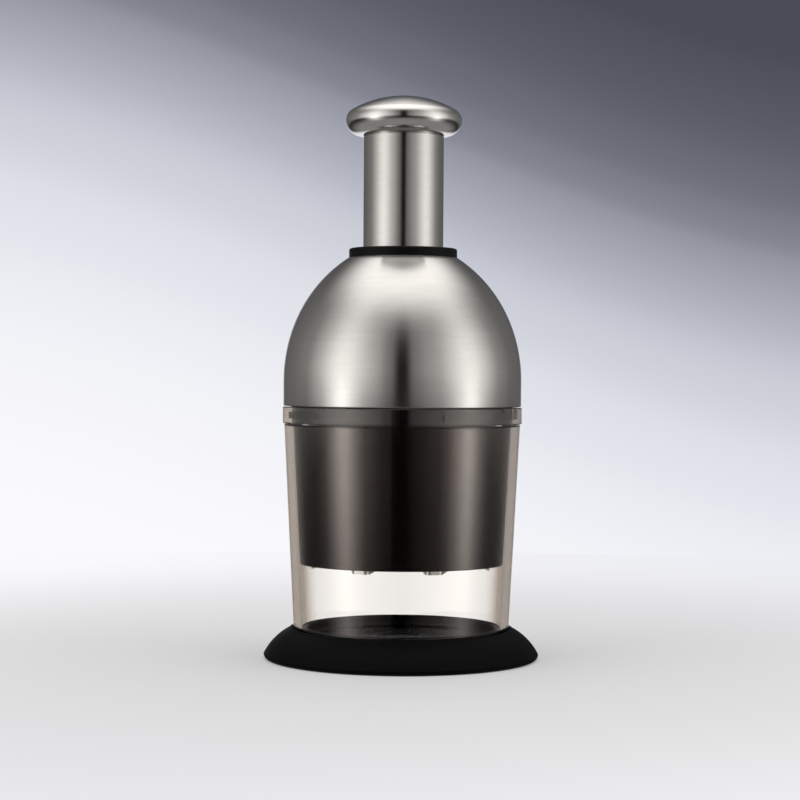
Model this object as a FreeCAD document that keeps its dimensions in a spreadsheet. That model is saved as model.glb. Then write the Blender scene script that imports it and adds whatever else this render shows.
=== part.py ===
import FreeCAD, Part
import math
import os

import Sketcher
from FreeCAD import Placement, Rotation, Vector

# A hand-driven food chopper. Pressing the knob drives a zigzag blade down through the slotted floor
# of a guard cup, on to the chopping board. A fluted shaft running through a nut turns the blade and
# the guard a little on each stroke. Millimetres, +Z up, origin on the table under the axis.
# The front of the chopper faces -Y.

doc = FreeCAD.newDocument("PlungerChopper")

# Driving sizes, in millimetres and degrees: name, value, and what it is.
SIZES = (
    ("foot_radius", 55.2, "widest radius of the rubber skirt"),
    ("foot_tip_height", 1.9, "height of the skirt's widest line"),
    ("foot_edge", 1.5, "how far the skirt's rounded edge tucks in under its widest line"),
    ("skirt_bend", 23.0, "radius of the skirt's convex flare"),
    ("skirt_wall", 2.6, "wall of the skirt's flare"),
    ("skirt_recess", 1.0, "hollow under the middle of the skirt"),
    ("skirt_floor", 3.4, "rubber under the tray"),
    ("foot_ring_width", 7.0, "width of the inner foot ring"),
    ("well_wall", 1.82, "rubber wall round the well, above the foot ring"),
    ("hollow_drop", 4.42, "top of the skirt's hollow below the top of the lip"),
    ("lip_height", 12.3, "top of the skirt's lip"),
    ("lip_wall", 0.9, "thickness of the lip at its top"),
    ("bead_rise", 0.6, "snap bead that holds the tray in the skirt"),
    ("tray_flange", 2.6, "thickness of the tray's edge, under the container"),
    ("board_thickness", 4.0, "thickness of the chopping board"),
    ("spigot_height", 4.6, "height of the tray's spigot above the board"),
    ("spigot_wall", 1.5, "wall of the spigot"),
    ("board_corner", 0.8, "fillet between board and spigot"),
    ("board_ring_radius", 10.9, "outside of the raised ring on the board"),
    ("board_ring_width", 1.0, "width of that ring"),
    ("board_ring_rise", 0.3, "rise of that ring"),
    ("seat_gap", 0.4, "radial gap where the container stands in the base"),
    ("container_foot_radius", 43.1, "outside of the container at its foot"),
    ("container_height", 94.0, "height of the container"),
    ("container_wall", 3.2, "wall of the container"),
    ("dome_step", 0.3, "how far the container's rim band stands out past the dome"),
    ("rim_step", 0.65, "how far the rim band stands out past the wall under it"),
    ("rim_height", 7.0, "height of the rim band"),
    ("edge_round", 0.5, "rounding of moulded edges"),
    ("lug_count", 4, "bayonet lugs"),
    ("lug_depth", 1.8, "how far a lug stands out"),
    ("lug_height", 1.8, "height of a lug"),
    ("lug_rise", 2.9, "underside of a lug above the bottom of the rim band"),
    ("lug_sweep", 22.0, "angle that a lug covers"),
    ("slot_sweep", 27.0, "angle that an entry slot covers"),
    ("twist_angle", 40.0, "turn between locked and free"),
    ("slot_angle", -95.0, "direction of the first slot's far side"),
    ("turn_gap", 0.4, "gap between parts that turn or slide past each other"),
    ("hang_gap", 0.3, "gap between a part that hangs or rests and its seat"),
    ("rim_gap", 0.35, "gap between the container's rim and the head"),
    ("ring_wall", 1.3, "wall of the bayonet ring"),
    ("ledge_width", 2.8, "ledge that carries the guard"),
    ("ledge_height", 2.6, "thickness of that ledge"),
    ("drum_floor", 1.85, "floor of the bayonet ring's drum"),
    ("drum_height", 8.5, "height of the drum"),
    ("drum_wall", 1.5, "wall of the drum"),
    ("drum_ledge", 6.35, "width of the drum's floor inside the ring's outside"),
    ("fit_gap", 0.1, "gap between parts that are pushed together"),
    ("guard_wall", 1.8, "wall of the blade guard"),
    ("guard_rebate", 1.17, "width of the guard's foot under the edge of the wiper plate's seat"),
    ("guard_shoulder_gap", 0.6, "gap between guard and container at the guard's top"),
    ("guard_foot_gap", 0.67, "gap between guard and container at the guard's foot"),
    ("guard_length", 55.6, "height of the guard's cup"),
    ("neck_wall", 1.8, "wall of the guard's neck"),
    ("guard_flange_height", 1.4, "thickness of the flange that hangs the guard"),
    ("wiper_thickness", 2.0, "thickness of the slotted wiper plate"),
    ("blade_slot_gap", 0.4, "gap on each side of the blade in the wiper plate"),
    ("dome_radius", 47.8, "outside of the steel dome"),
    ("dome_wall", 0.8, "sheet of the dome"),
    ("dome_straight", 10.2, "height of the dome's straight foot"),
    ("dome_lower_bend", 62.0, "radius of the dome's lower curve"),
    ("dome_upper_bend", 56.0, "radius of the dome's upper curve"),
    ("dome_join_rise", 24.3, "height of the upper curve's start above the straight foot"),
    ("dome_hole_radius", 20.5, "hole in the top of the dome"),
    ("collar_radius", 21.7, "outside of the collar ring"),
    ("collar_show", 3.6, "height of the collar ring that shows"),
    ("collar_plug", 6.2, "depth of the collar ring's plug inside the dome"),
    ("collar_round", 0.9, "rounding of the collar ring's top edge"),
    ("housing_flange", 2.2, "thickness of the inner housing's flange"),
    ("housing_wall", 1.8, "wall of the inner housing"),
    ("stop_ring_rise", 1.7, "how far the stop ring stands out from the tube"),
    ("stop_ring_height", 3.0, "height of the stop ring"),
    ("bush_gap", 0.08, "running gap of the tube in its bush"),
    ("tube_radius", 16.1, "outside of the handle tube"),
    ("tube_wall", 0.8, "wall of the handle tube"),
    ("tube_show", 46.5, "length of tube between the collar and the knob"),
    ("knob_radius", 23.3, "widest radius of the knob"),
    ("knob_crown", 9.75, "height of the knob above its widest line"),
    ("knob_crown_bend", 41.5, "radius of the knob's crown"),
    ("knob_under", 4.9, "depth of the knob below its widest line"),
    ("knob_wall", 0.9, "sheet of the knob"),
    ("insert_plug", 21.0, "length of the knob insert inside the tube"),
    ("core_rise", 54.0, "underside of the core above the drum's floor"),
    ("core_length", 26.0, "length of the core"),
    ("core_flange", 6.0, "thickness of the core's lower flange"),
    ("core_top_flange", 3.0, "thickness of the core's upper flange"),
    ("core_lid", 3.6, "thickness of the core above its cavity"),
    ("core_stem_radius", 11.0, "radius of the core between its flanges"),
    ("journal_length", 10.0, "bearing length of the shaft in the core"),
    ("journal_gap", 0.08, "running gap of the shaft in the core"),
    ("swivel_cavity_radius", 7.2, "cavity above the shaft's end"),
    ("washer_thickness", 1.2, "thickness of the swivel washer"),
    ("screw_radius", 2.0, "shank of the larger screws"),
    ("screw_head_radius", 3.6, "head of the larger screws"),
    ("screw_head_height", 2.4, "height of the larger screws' heads"),
    ("driver_slot_width", 0.8, "width of a screw's driver slot"),
    ("driver_slot_depth", 0.96, "depth of a screw's driver slot"),
    ("small_screw_radius", 1.5, "shank of the housing screws"),
    ("small_screw_head_radius", 2.7, "head of the housing screws"),
    ("housing_screw_inset", 3.05, "circle of housing screws, in from the ring's outside"),
    ("housing_screw_count", 4, "housing screws"),
    ("rivet_radius", 1.5, "radius of the core's rivets"),
    ("spring_wire", 1.6, "wire of the return spring"),
    ("spring_radius", 11.2, "mean radius of the return spring"),
    ("spring_turns", 9, "turns of the return spring"),
    ("spring_end_pitch", 2.4, "pitch of the spring's first and last turns"),
    ("plate_thickness", 2.4, "thickness of the mechanism plate"),
    ("hub_radius", 13.5, "outside of the mechanism plate's hub"),
    ("hub_depth", 8.0, "depth of the hub below the plate"),
    ("pocket_radius", 11.0, "pocket for the nut in the hub"),
    ("web_thickness", 1.6, "wall between that pocket and the spring"),
    ("bumper_height", 2.9, "height of the rubber bumper"),
    ("ratchet_thickness", 2.2, "thickness of the ratchet ring"),
    ("tooth_count", 12, "face teeth of the ratchet"),
    ("tooth_height", 0.8, "height of a face tooth"),
    ("tooth_width", 1.3, "width of a face tooth"),
    ("tooth_inner_radius", 6.6, "inner end of a face tooth"),
    ("tooth_outer_radius", 10.12, "outer end of a face tooth"),
    ("nut_thickness", 3.4, "thickness of the index nut"),
    ("nut_spring_height", 0.9, "free height of the nut's disc spring"),
    ("nut_spring_sheet", 0.4, "sheet of the nut's disc spring"),
    ("retainer_thickness", 1.3, "thickness of the nut retainer"),
    ("shaft_radius", 4.5, "radius of the drive shaft"),
    ("flute_count", 3, "helical flutes in the shaft"),
    ("flute_radius", 1.2, "radius of a flute's section"),
    ("key_gap", 0.3, "gap between the nut's keys and the flutes"),
    ("index_angle", 45.0, "turn of the blade in one full stroke"),
    ("blade_thickness", 0.6, "sheet of the blade"),
    ("blade_seat", 2.0, "depth of the blade's edge in its carrier"),
    ("blade_show", 1.7, "how far the blade stands out of the guard at rest"),
    ("blade_side_gap", 4.0, "from the blade's outer bends to the outside of the guard's foot"),
    ("blade_floor_gap", 0.4, "gap between blade and board at full stroke"),
    ("blade_bend", 1.4, "radius of the blade's bends, on its centre line"),
    ("blade_bend_width", 6.0, "width of a bend's squared end"),
    ("blade_front_bend", 22.0, "direction of the front bends, from the front"),
    ("blade_back_bend", 134.0, "direction of the back bends, from the front"),
    ("blade_end", 70.0, "direction of the blade's free ends, from the front"),
    ("blade_rest_angle", -2.6, "how far the blade stands turned at rest"),
    ("carrier_thickness", 3.4, "thickness of the blade carrier's disc"),
    ("carrier_side_gap", 1.0, "gap between the carrier and the inside of the guard's foot"),
    ("carrier_floor_gap", 2.8, "gap between carrier and wiper plate at full stroke"),
    ("carrier_top_gap", 3.05, "gap between the carrier's hub and the mechanism plate's hub at rest"),
    ("carrier_hub_radius", 9.0, "radius of the carrier's hub"),
    ("rib_count", 6, "stiffening ribs on the carrier"),
    ("rib_height", 5.0, "height of those ribs"),
    ("rib_thickness", 1.6, "thickness of those ribs"),
)


class Size:
    """A size from the sheet, or one worked out from such sizes: its value, and its formula."""

    def __init__(self, value, formula):
        self.value = float(value)
        self.formula = formula

    def __float__(self):
        return self.value

    def __add__(self, other):
        return Size(self.value + float(other), f"({self.formula} + {formula_of(other)})")

    def __sub__(self, other):
        return Size(self.value - float(other), f"({self.formula} - {formula_of(other)})")

    def __mul__(self, other):
        return Size(self.value * float(other), f"({self.formula} * {formula_of(other)})")

    def __truediv__(self, other):
        return Size(self.value / float(other), f"({self.formula} / {formula_of(other)})")

    def __neg__(self):
        return Size(-self.value, f"(-1 * {self.formula})")


def formula_of(number):
    """The text of a size or of a plain number, for a formula."""
    return number.formula if isinstance(number, Size) else repr(float(number))


def root(size):
    """The square root of a size."""
    return Size(math.sqrt(size.value), f"sqrt({size.formula})")


def cosine(angle):
    """The cosine of an angle in degrees."""
    return Size(math.cos(math.radians(angle.value)), f"cos({angle.formula})")


def sine(angle):
    """The sine of an angle in degrees."""
    return Size(math.sin(math.radians(angle.value)), f"sin({angle.formula})")


class Sheet:
    """The spreadsheet of driving sizes. Each one is read by its name, as sheet.foot_radius."""

    def __init__(self, rows):
        self.cells = doc.addObject("Spreadsheet::Sheet", "Sizes")
        for row, (alias, value, note) in enumerate(rows, start=1):
            self.cells.set(f"A{row}", alias)
            self.cells.set(f"B{row}", str(value))
            self.cells.set(f"C{row}", note)
            self.cells.setAlias(f"B{row}", alias)
        doc.recompute()

    def __getattr__(self, alias):
        return Size(self.cells.get(alias), f"Sizes.{alias}")


sheet = Sheet(SIZES)

# Heights of the seats, stacked from the table upwards.
tray_seat = sheet.skirt_recess + sheet.skirt_floor
container_seat = tray_seat + sheet.tray_flange
board_top = tray_seat + sheet.board_thickness
spigot_top = board_top + sheet.spigot_height
rim_top = container_seat + sheet.container_height
rim_bottom = rim_top - sheet.rim_height
ledge_bottom = rim_bottom + sheet.turn_gap
ledge_top = ledge_bottom + sheet.ledge_height
guard_top = ledge_bottom - sheet.turn_gap
guard_bottom = guard_top - sheet.guard_length
flange_bottom = ledge_top + sheet.hang_gap
flange_top = flange_bottom + sheet.guard_flange_height
drum_bottom = rim_top + sheet.rim_gap
drum_seat = drum_bottom + sheet.drum_floor
plate_bottom = drum_bottom - sheet.plate_thickness
hub_bottom = plate_bottom - sheet.hub_depth
housing_seat = drum_seat + sheet.housing_flange
bumper_top = drum_bottom + sheet.bumper_height

# The stroke runs from the blade's rest height to the board. At its end the carrier stands just above
# the wiper plate, and at rest its hub stands just below the mechanism plate.
wiper_top = guard_bottom + sheet.wiper_thickness
blade_bottom = guard_bottom - sheet.blade_show
stroke = blade_bottom - board_top - sheet.blade_floor_gap
flute_lead = stroke * 360.0 / sheet.index_angle
carrier_bottom = wiper_top + sheet.carrier_floor_gap + stroke
carrier_top = carrier_bottom + sheet.carrier_thickness
carrier_hub_top = hub_bottom - sheet.carrier_top_gap
blade_top = carrier_bottom + sheet.blade_seat

# Radii of the surfaces that run past each other.
rim_radius = sheet.dome_radius + sheet.dome_step
container_shoulder_radius = rim_radius - sheet.rim_step
ring_radius = container_shoulder_radius - sheet.container_wall + sheet.edge_round - sheet.turn_gap
rim_bore = ring_radius + sheet.turn_gap
drum_hole_radius = ring_radius - sheet.drum_ledge
housing_screw_circle = ring_radius - sheet.housing_screw_inset
ring_bore = ring_radius - sheet.ring_wall
ledge_bore = ring_radius - sheet.ledge_width
neck_radius = ledge_bore - sheet.turn_gap
guard_flange_radius = ring_bore - sheet.turn_gap
channel_radius = ring_radius + sheet.lug_depth + sheet.turn_gap
tube_bore = sheet.tube_radius - sheet.tube_wall
bush_bore = sheet.tube_radius + sheet.bush_gap
stop_ring_radius = sheet.tube_radius + sheet.stop_ring_rise
housing_bore = stop_ring_radius + sheet.turn_gap
housing_radius = housing_bore + sheet.housing_wall

# The dome's two curves: the lower one leaves the straight foot upright, the upper one carries on from it.
dome_bottom = rim_top + sheet.rim_gap
dome_foot_top = dome_bottom + sheet.dome_straight
lower_centre_r = sheet.dome_radius - sheet.dome_lower_bend
dome_join_z = dome_foot_top + sheet.dome_join_rise
dome_join_r = lower_centre_r + root(sheet.dome_lower_bend * sheet.dome_lower_bend
                                    - sheet.dome_join_rise * sheet.dome_join_rise)
bend_ratio = sheet.dome_upper_bend / sheet.dome_lower_bend
upper_centre_r = dome_join_r - (dome_join_r - lower_centre_r) * bend_ratio
upper_centre_z = dome_join_z - sheet.dome_join_rise * bend_ratio


def dome_height(radius, inset=0.0):
    """The height of the dome's upper curve, drawn in by inset, at a radius."""
    bend = sheet.dome_upper_bend - inset
    across = radius - upper_centre_r
    return upper_centre_z + root(bend * bend - across * across)


collar_foot = dome_height(sheet.collar_radius)
collar_top = collar_foot + sheet.collar_show
collar_plug_bottom = collar_foot - sheet.collar_plug
knob_bottom = collar_top + sheet.tube_show
knob_waist = knob_bottom + sheet.knob_under
core_bottom = drum_seat + sheet.core_rise
core_top = core_bottom + sheet.core_length
shaft_top = core_bottom + sheet.journal_length + sheet.turn_gap
tube_bottom = bumper_top + sheet.turn_gap + stroke
stop_ring_top = tube_bottom + sheet.stop_ring_height
bush_bottom = stop_ring_top + sheet.hang_gap

# The direction of the first lug when the head is locked. The housing screws stand in the same directions.
locked_angle = sheet.slot_angle - sheet.twist_angle - (sheet.slot_sweep - sheet.lug_sweep) / 2.0

# The nut's pocket, from the web down.
pocket_top = drum_bottom - sheet.web_thickness
ratchet_bottom = pocket_top - sheet.ratchet_thickness
nut_top = ratchet_bottom - sheet.tooth_height - sheet.turn_gap / 2.0
nut_bottom = nut_top - sheet.nut_thickness
nut_spring_bottom = nut_bottom - sheet.nut_spring_height
retainer_top = nut_spring_bottom - sheet.fit_gap
shaft_hole = sheet.shaft_radius + sheet.turn_gap * 2.0


def taper(low_z, low_r, high_z, high_r, at_z):
    """The radius at a height on a straight taper."""
    return low_r + (high_r - low_r) * (at_z - low_z) / (high_z - low_z)


def container_outside(at_z):
    """The container's outer radius at a height."""
    return taper(container_seat, sheet.container_foot_radius,
                 rim_bottom, container_shoulder_radius, at_z)


# The guard and what it holds follow the container's bore.
guard_shoulder_radius = container_outside(guard_top) - sheet.container_wall - sheet.guard_shoulder_gap
guard_foot_radius = container_outside(guard_bottom) - sheet.container_wall - sheet.guard_foot_gap
wiper_seat_radius = guard_foot_radius - sheet.guard_rebate
carrier_radius = guard_foot_radius - sheet.guard_wall - sheet.carrier_side_gap
blade_reach = guard_foot_radius - sheet.blade_side_gap


def guard_outside(at_z):
    """The guard's outer radius at a height."""
    return taper(guard_bottom, guard_foot_radius, guard_top, guard_shoulder_radius, at_z)


def new_body(label):
    """An empty body with a label."""
    body = doc.addObject("PartDesign::Body", label)
    body.Label = label
    return body


def origin_feature(body, role):
    """The body's own origin plane or axis of that role."""
    return next(feature for feature in body.Origin.OriginFeatures if feature.Role == role)


def new_sketch(body, name, plane, offset=None):
    """A sketch on one of the body's origin planes, lifted off it by offset."""
    sketch = body.newObject("Sketcher::SketchObject", name)
    sketch.AttachmentSupport = [(origin_feature(body, plane), "")]
    sketch.MapMode = "FlatFace"
    if offset is not None:
        sketch.AttachmentOffset = Placement(Vector(0, 0, float(offset)), Rotation())
        sketch.setExpression("AttachmentOffset.Base.z", offset.formula)
    return sketch


def bind(sketch, rule, formula):
    """Adds a sized constraint, bound to a formula."""
    index = sketch.addConstraint(rule)
    sketch.setExpression(f"Constraints[{index}]", formula)


def hold(sketch, geometry, point, across, up):
    """Holds a point at its distances from the sketch's axes."""
    for kind, axis, distance in (("DistanceX", -2, across), ("DistanceY", -1, up)):
        if not isinstance(distance, Size):
            sketch.addConstraint(Sketcher.Constraint("PointOnObject", geometry, point, axis))
        elif distance.value >= 0:
            rule = Sketcher.Constraint(kind, -1, 1, geometry, point, distance.value)
            bind(sketch, rule, distance.formula)
        else:
            rule = Sketcher.Constraint(kind, geometry, point, -1, 1, -distance.value)
            bind(sketch, rule, (-distance).formula)


def arc_between(start, end, bend):
    """The short arc from start to end. It turns left where bend is positive, and right otherwise."""
    radius = abs(bend)
    half = (end - start) * 0.5
    left = Vector(-half.y, half.x, 0).normalize()
    reach = math.sqrt(max(radius * radius - half.Length * half.Length, 0.0))
    centre = start + half + left * math.copysign(reach, bend)
    first, last = (start, end) if bend > 0 else (end, start)
    angles = [math.atan2(point.y - centre.y, point.x - centre.x) for point in (first, last)]
    return Part.ArcOfCircle(Part.Circle(centre, Vector(0, 0, 1), radius), *angles)


def trace(sketch, path):
    """Draws a closed outline and binds each corner. A corner is (across, up). One that an arc leads
    to is (across, up, bend): the arc's radius, positive where it turns left and negative where it
    turns right. A plain 0 keeps the corner on an axis."""
    points = [Vector(float(corner[0]), float(corner[1]), 0) for corner in path]
    first = sketch.GeometryCount
    tails = []
    heads = []
    for index, corner in enumerate(path):
        start, end = points[index - 1], points[index]
        if len(corner) == 2:
            sketch.addGeometry(Part.LineSegment(start, end))
            turns_left = True
        else:
            bend = corner[2]
            sketch.addGeometry(arc_between(start, end, float(bend)))
            turns_left = float(bend) > 0
            size = bend if turns_left else -bend
            bind(sketch, Sketcher.Constraint("Radius", first + index, size.value), size.formula)
        tails.append(1 if turns_left else 2)
        heads.append(2 if turns_left else 1)
    for index, corner in enumerate(path):
        following = (index + 1) % len(path)
        sketch.addConstraint(Sketcher.Constraint(
            "Coincident", first + index, heads[index], first + following, tails[following]))
        hold(sketch, first + index, heads[index], corner[0], corner[1])


def circle(sketch, across, up, radius):
    """Draws a circle, bound in place and size."""
    centre = Vector(float(across), float(up), 0)
    index = sketch.addGeometry(Part.Circle(centre, Vector(0, 0, 1), float(radius)))
    bind(sketch, Sketcher.Constraint("Radius", index, radius.value), radius.formula)
    hold(sketch, index, 3, across, up)


def revolve(body, name, path, sweep=None, kind="PartDesign::Revolution"):
    """Turns an outline of (radius, height) corners about the axis, fully or through sweep degrees."""
    sketch = new_sketch(body, name + "_profile", "XZ_Plane")
    trace(sketch, path)
    feature = body.newObject(kind, name)
    feature.Profile = sketch
    feature.ReferenceAxis = (sketch, ["V_Axis"])
    feature.Angle = 360.0 if sweep is None else float(sweep)
    if sweep is not None:
        feature.setExpression("Angle", sweep.formula)
    sketch.Visibility = False
    return feature


def extrude(body, name, sketch, length, kind="PartDesign::Pad", backwards=False):
    """Pads or pockets a sketch through a length."""
    feature = body.newObject(kind, name)
    feature.Profile = sketch
    feature.Length = float(length)
    feature.setExpression("Length", length.formula)
    feature.Reversed = backwards
    return feature


def around(body, name, feature, count):
    """Repeats a feature evenly about the axis."""
    pattern = body.newObject("PartDesign::PolarPattern", name)
    pattern.Originals = [feature]
    pattern.Axis = (origin_feature(body, "Z_Axis"), [""])
    pattern.Angle = 360.0
    pattern.Occurrences = int(count.value)
    pattern.setExpression("Occurrences", count.formula)
    body.Tip = pattern
    return pattern


def turn(body, angle):
    """Turns a whole body about the axis, by an angle in degrees."""
    body.Placement = Placement(Vector(0, 0, 0), Rotation(Vector(0, 0, 1), float(angle)))
    body.setExpression("Placement.Rotation.Angle", f"({angle.formula}) * 1 deg")


def rectangle(low_r, high_r, low_z, high_z):
    """The corners of an upright rectangle."""
    return [(low_r, low_z), (high_r, low_z), (high_r, high_z), (low_r, high_z)]


def base_skirt():
    """The soft rubber base: a thin flaring skirt, a foot ring, and a well that the tray snaps into."""
    body = new_body("base_skirt")
    well = container_outside(sheet.lip_height) + sheet.seat_gap
    lip_outside = well + sheet.lip_wall
    shoulder = lip_outside + sheet.lip_wall / 2.0
    ring_outside = well + sheet.well_wall
    hollow_tip = sheet.foot_radius - sheet.skirt_wall
    bead_low = tray_seat + sheet.bead_rise
    bead_high = bead_low + sheet.bead_rise * 2.0
    revolve(body, "Skirt", [
        (0, sheet.skirt_recess),
        (ring_outside - sheet.foot_ring_width, sheet.skirt_recess),
        (ring_outside - sheet.foot_ring_width + sheet.skirt_recess, 0),
        (ring_outside, 0),
        (ring_outside, sheet.lip_height - sheet.hollow_drop),
        (hollow_tip, sheet.foot_tip_height / 2.0, -sheet.skirt_bend),
        (hollow_tip + sheet.foot_edge / 4.0, 0),
        (sheet.foot_radius - sheet.foot_edge, 0),
        (sheet.foot_radius, sheet.foot_tip_height, sheet.foot_tip_height),
        (shoulder, sheet.lip_height - sheet.lip_wall / 2.0, sheet.skirt_bend),
        (lip_outside, sheet.lip_height, sheet.lip_wall),
        (well, sheet.lip_height),
        (well, bead_high + sheet.bead_rise / 2.0),
        (well + sheet.bead_rise, bead_high),
        (well + sheet.bead_rise, bead_low),
        (well, bead_low - sheet.bead_rise / 2.0),
        (well, tray_seat),
        (0, tray_seat),
    ])
    return body


def chopping_tray():
    """The glossy chopping board: a groove for the container's foot, a spigot inside it, a low ring."""
    body = new_body("chopping_tray")
    edge = container_outside(sheet.lip_height) + sheet.seat_gap - sheet.fit_gap
    spigot = sheet.container_foot_radius - sheet.container_wall - sheet.seat_gap
    board_edge = spigot - sheet.spigot_wall
    ring_out = sheet.board_ring_radius
    ring_in = ring_out - sheet.board_ring_width
    ring_top = board_top + sheet.board_ring_rise
    bead_low = tray_seat + sheet.bead_rise
    bead_high = bead_low + sheet.bead_rise * 2.0
    top_round = sheet.spigot_wall / 2.0
    revolve(body, "Tray", [
        (0, tray_seat),
        (edge, tray_seat),
        (edge, bead_low - sheet.bead_rise / 2.0),
        (edge + sheet.bead_rise, bead_low),
        (edge + sheet.bead_rise, bead_high),
        (edge, bead_high + sheet.bead_rise / 2.0),
        (edge, container_seat),
        (spigot, container_seat),
        (spigot, spigot_top - top_round),
        (spigot - top_round, spigot_top, top_round),
        (board_edge, spigot_top - top_round, top_round),
        (board_edge, board_top + sheet.board_corner),
        (board_edge - sheet.board_corner, board_top, -sheet.board_corner),
        (ring_out + sheet.board_ring_rise, board_top),
        (ring_out, ring_top),
        (ring_in, ring_top),
        (ring_in - sheet.board_ring_rise, board_top),
        (0, board_top),
    ])
    return body


def clear_container():
    """The clear container: a tapered wall under a proud rim band with four bayonet channels inside."""
    body = new_body("clear_container")
    edge = sheet.edge_round
    foot_inside = sheet.container_foot_radius - sheet.container_wall
    shoulder_inside = container_shoulder_radius - sheet.container_wall
    band_out = rim_radius
    revolve(body, "Wall", [
        (foot_inside + edge, container_seat),
        (sheet.container_foot_radius - edge, container_seat),
        (sheet.container_foot_radius, container_seat + edge, edge),
        (container_shoulder_radius, rim_bottom),
        (band_out, rim_bottom + (band_out - container_shoulder_radius)),
        (band_out, rim_top - edge),
        (band_out - edge, rim_top, edge),
        (rim_bore, rim_top),
        (rim_bore, rim_bottom),
        (shoulder_inside, rim_bottom - edge),
        (foot_inside, container_seat + edge),
    ])
    channel_low = rim_bottom + sheet.lug_rise - sheet.turn_gap
    channel_high = channel_low + sheet.lug_height + sheet.turn_gap * 2.0
    channel_sweep = sheet.twist_angle + (sheet.slot_sweep + sheet.lug_sweep) / 2.0 + sheet.turn_gap
    inside = rim_bore - edge
    channel = revolve(body, "Channel", rectangle(inside, channel_radius, channel_low, channel_high),
                      channel_sweep, "PartDesign::Groove")
    channel.Reversed = True
    around(body, "Channels", channel, sheet.lug_count)
    slot = revolve(body, "Slot", rectangle(inside, channel_radius, channel_low, rim_top + edge),
                   sheet.slot_sweep, "PartDesign::Groove")
    slot.Reversed = True
    around(body, "Slots", slot, sheet.lug_count)
    turn(body, sheet.slot_angle)
    return body


def bayonet_ring():
    """The ring that locks the head in the container: four lugs outside, a ledge for the guard inside,
    and a drum that the dome and the inner housing sit on."""
    body = new_body("bayonet_ring")
    drum_out = sheet.dome_radius - sheet.dome_wall - sheet.fit_gap
    drum_top = drum_bottom + sheet.drum_height
    edge = sheet.edge_round
    revolve(body, "Ring", [
        (ledge_bore, ledge_bottom),
        (ring_radius - edge, ledge_bottom),
        (ring_radius, ledge_bottom + edge, edge),
        (ring_radius, drum_bottom),
        (drum_out, drum_bottom),
        (drum_out, drum_top - edge),
        (drum_out - edge, drum_top),
        (drum_out - sheet.drum_wall, drum_top),
        (drum_out - sheet.drum_wall, drum_seat),
        (drum_hole_radius, drum_seat),
        (drum_hole_radius, drum_bottom),
        (ring_bore, drum_bottom),
        (ring_bore, ledge_top),
        (ledge_bore, ledge_top),
    ])
    lug_low = rim_bottom + sheet.lug_rise
    lug = revolve(body, "Lug", rectangle(ring_radius - edge, ring_radius + sheet.lug_depth,
                                         lug_low, lug_low + sheet.lug_height), sheet.lug_sweep)
    lug.Reversed = True
    around(body, "Lugs", lug, sheet.lug_count)
    holes = new_sketch(body, "Screw_holes_plan", "XY_Plane", drum_seat + edge)
    circle(holes, housing_screw_circle, 0, sheet.small_screw_radius + sheet.fit_gap)
    hole = extrude(body, "Screw_hole", holes, sheet.drum_floor + edge * 2.0, "PartDesign::Pocket")
    around(body, "Screw_holes", hole, sheet.housing_screw_count)
    turn(body, locked_angle)
    return body


def dome_shell():
    """The brushed steel dome, spun from sheet: a straight foot, two smooth curves, a hole on top."""
    body = new_body("dome_shell")
    wall = sheet.dome_wall
    hole = sheet.dome_hole_radius
    inner_lower = sheet.dome_lower_bend - wall
    inner_upper = sheet.dome_upper_bend - wall
    inner_join_r = lower_centre_r + (dome_join_r - lower_centre_r) * inner_lower / sheet.dome_lower_bend
    inner_join_z = dome_foot_top + sheet.dome_join_rise * inner_lower / sheet.dome_lower_bend
    revolve(body, "Shell", [
        (sheet.dome_radius - wall, dome_bottom),
        (sheet.dome_radius, dome_bottom),
        (sheet.dome_radius, dome_foot_top),
        (dome_join_r, dome_join_z, sheet.dome_lower_bend),
        (hole, dome_height(hole), sheet.dome_upper_bend),
        (hole, dome_height(hole, wall)),
        (inner_join_r, inner_join_z, -inner_upper),
        (sheet.dome_radius - wall, dome_foot_top, -inner_lower),
    ])
    return body


def collar_ring():
    """The black collar round the tube. Its plug passes through the dome and clips over the housing."""
    body = new_body("collar_ring")
    bore = sheet.tube_radius + sheet.turn_gap
    plug = sheet.dome_hole_radius - sheet.fit_gap * 2.0
    bend = sheet.collar_round
    rest = dome_height(sheet.dome_hole_radius) + sheet.fit_gap
    revolve(body, "Collar", [
        (bore, collar_plug_bottom),
        (plug, collar_plug_bottom),
        (plug, rest),
        (sheet.dome_hole_radius, rest),
        (sheet.collar_radius, collar_foot + sheet.fit_gap),
        (sheet.collar_radius, collar_top - bend),
        (sheet.collar_radius - bend, collar_top, bend),
        (bore + bend / 2.0, collar_top),
        (bore, collar_top - bend / 2.0),
    ])
    return body


def inner_housing():
    """The inner housing: a flanged tube that guides the plunger and carries the dome at its top."""
    body = new_body("inner_housing")
    flange = sheet.dome_radius - sheet.dome_wall - sheet.drum_wall - sheet.fit_gap * 2.0
    pocket = housing_bore + sheet.fit_gap * 4.0
    revolve(body, "Housing", [
        (housing_bore, drum_seat),
        (flange, drum_seat),
        (flange, housing_seat),
        (housing_radius + sheet.housing_flange, housing_seat),
        (housing_radius, housing_seat + sheet.housing_flange, -sheet.housing_flange),
        (housing_radius, collar_plug_bottom),
        (pocket, collar_plug_bottom),
        (pocket, bush_bottom),
        (housing_bore, bush_bottom),
    ])
    holes = new_sketch(body, "Screw_holes_plan", "XY_Plane", housing_seat + sheet.edge_round)
    circle(holes, housing_screw_circle, 0, sheet.small_screw_radius + sheet.fit_gap)
    hole = extrude(body, "Screw_hole", holes, sheet.housing_flange + sheet.edge_round * 2.0,
                   "PartDesign::Pocket")
    around(body, "Screw_holes", hole, sheet.housing_screw_count)
    turn(body, locked_angle)
    return body


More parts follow.
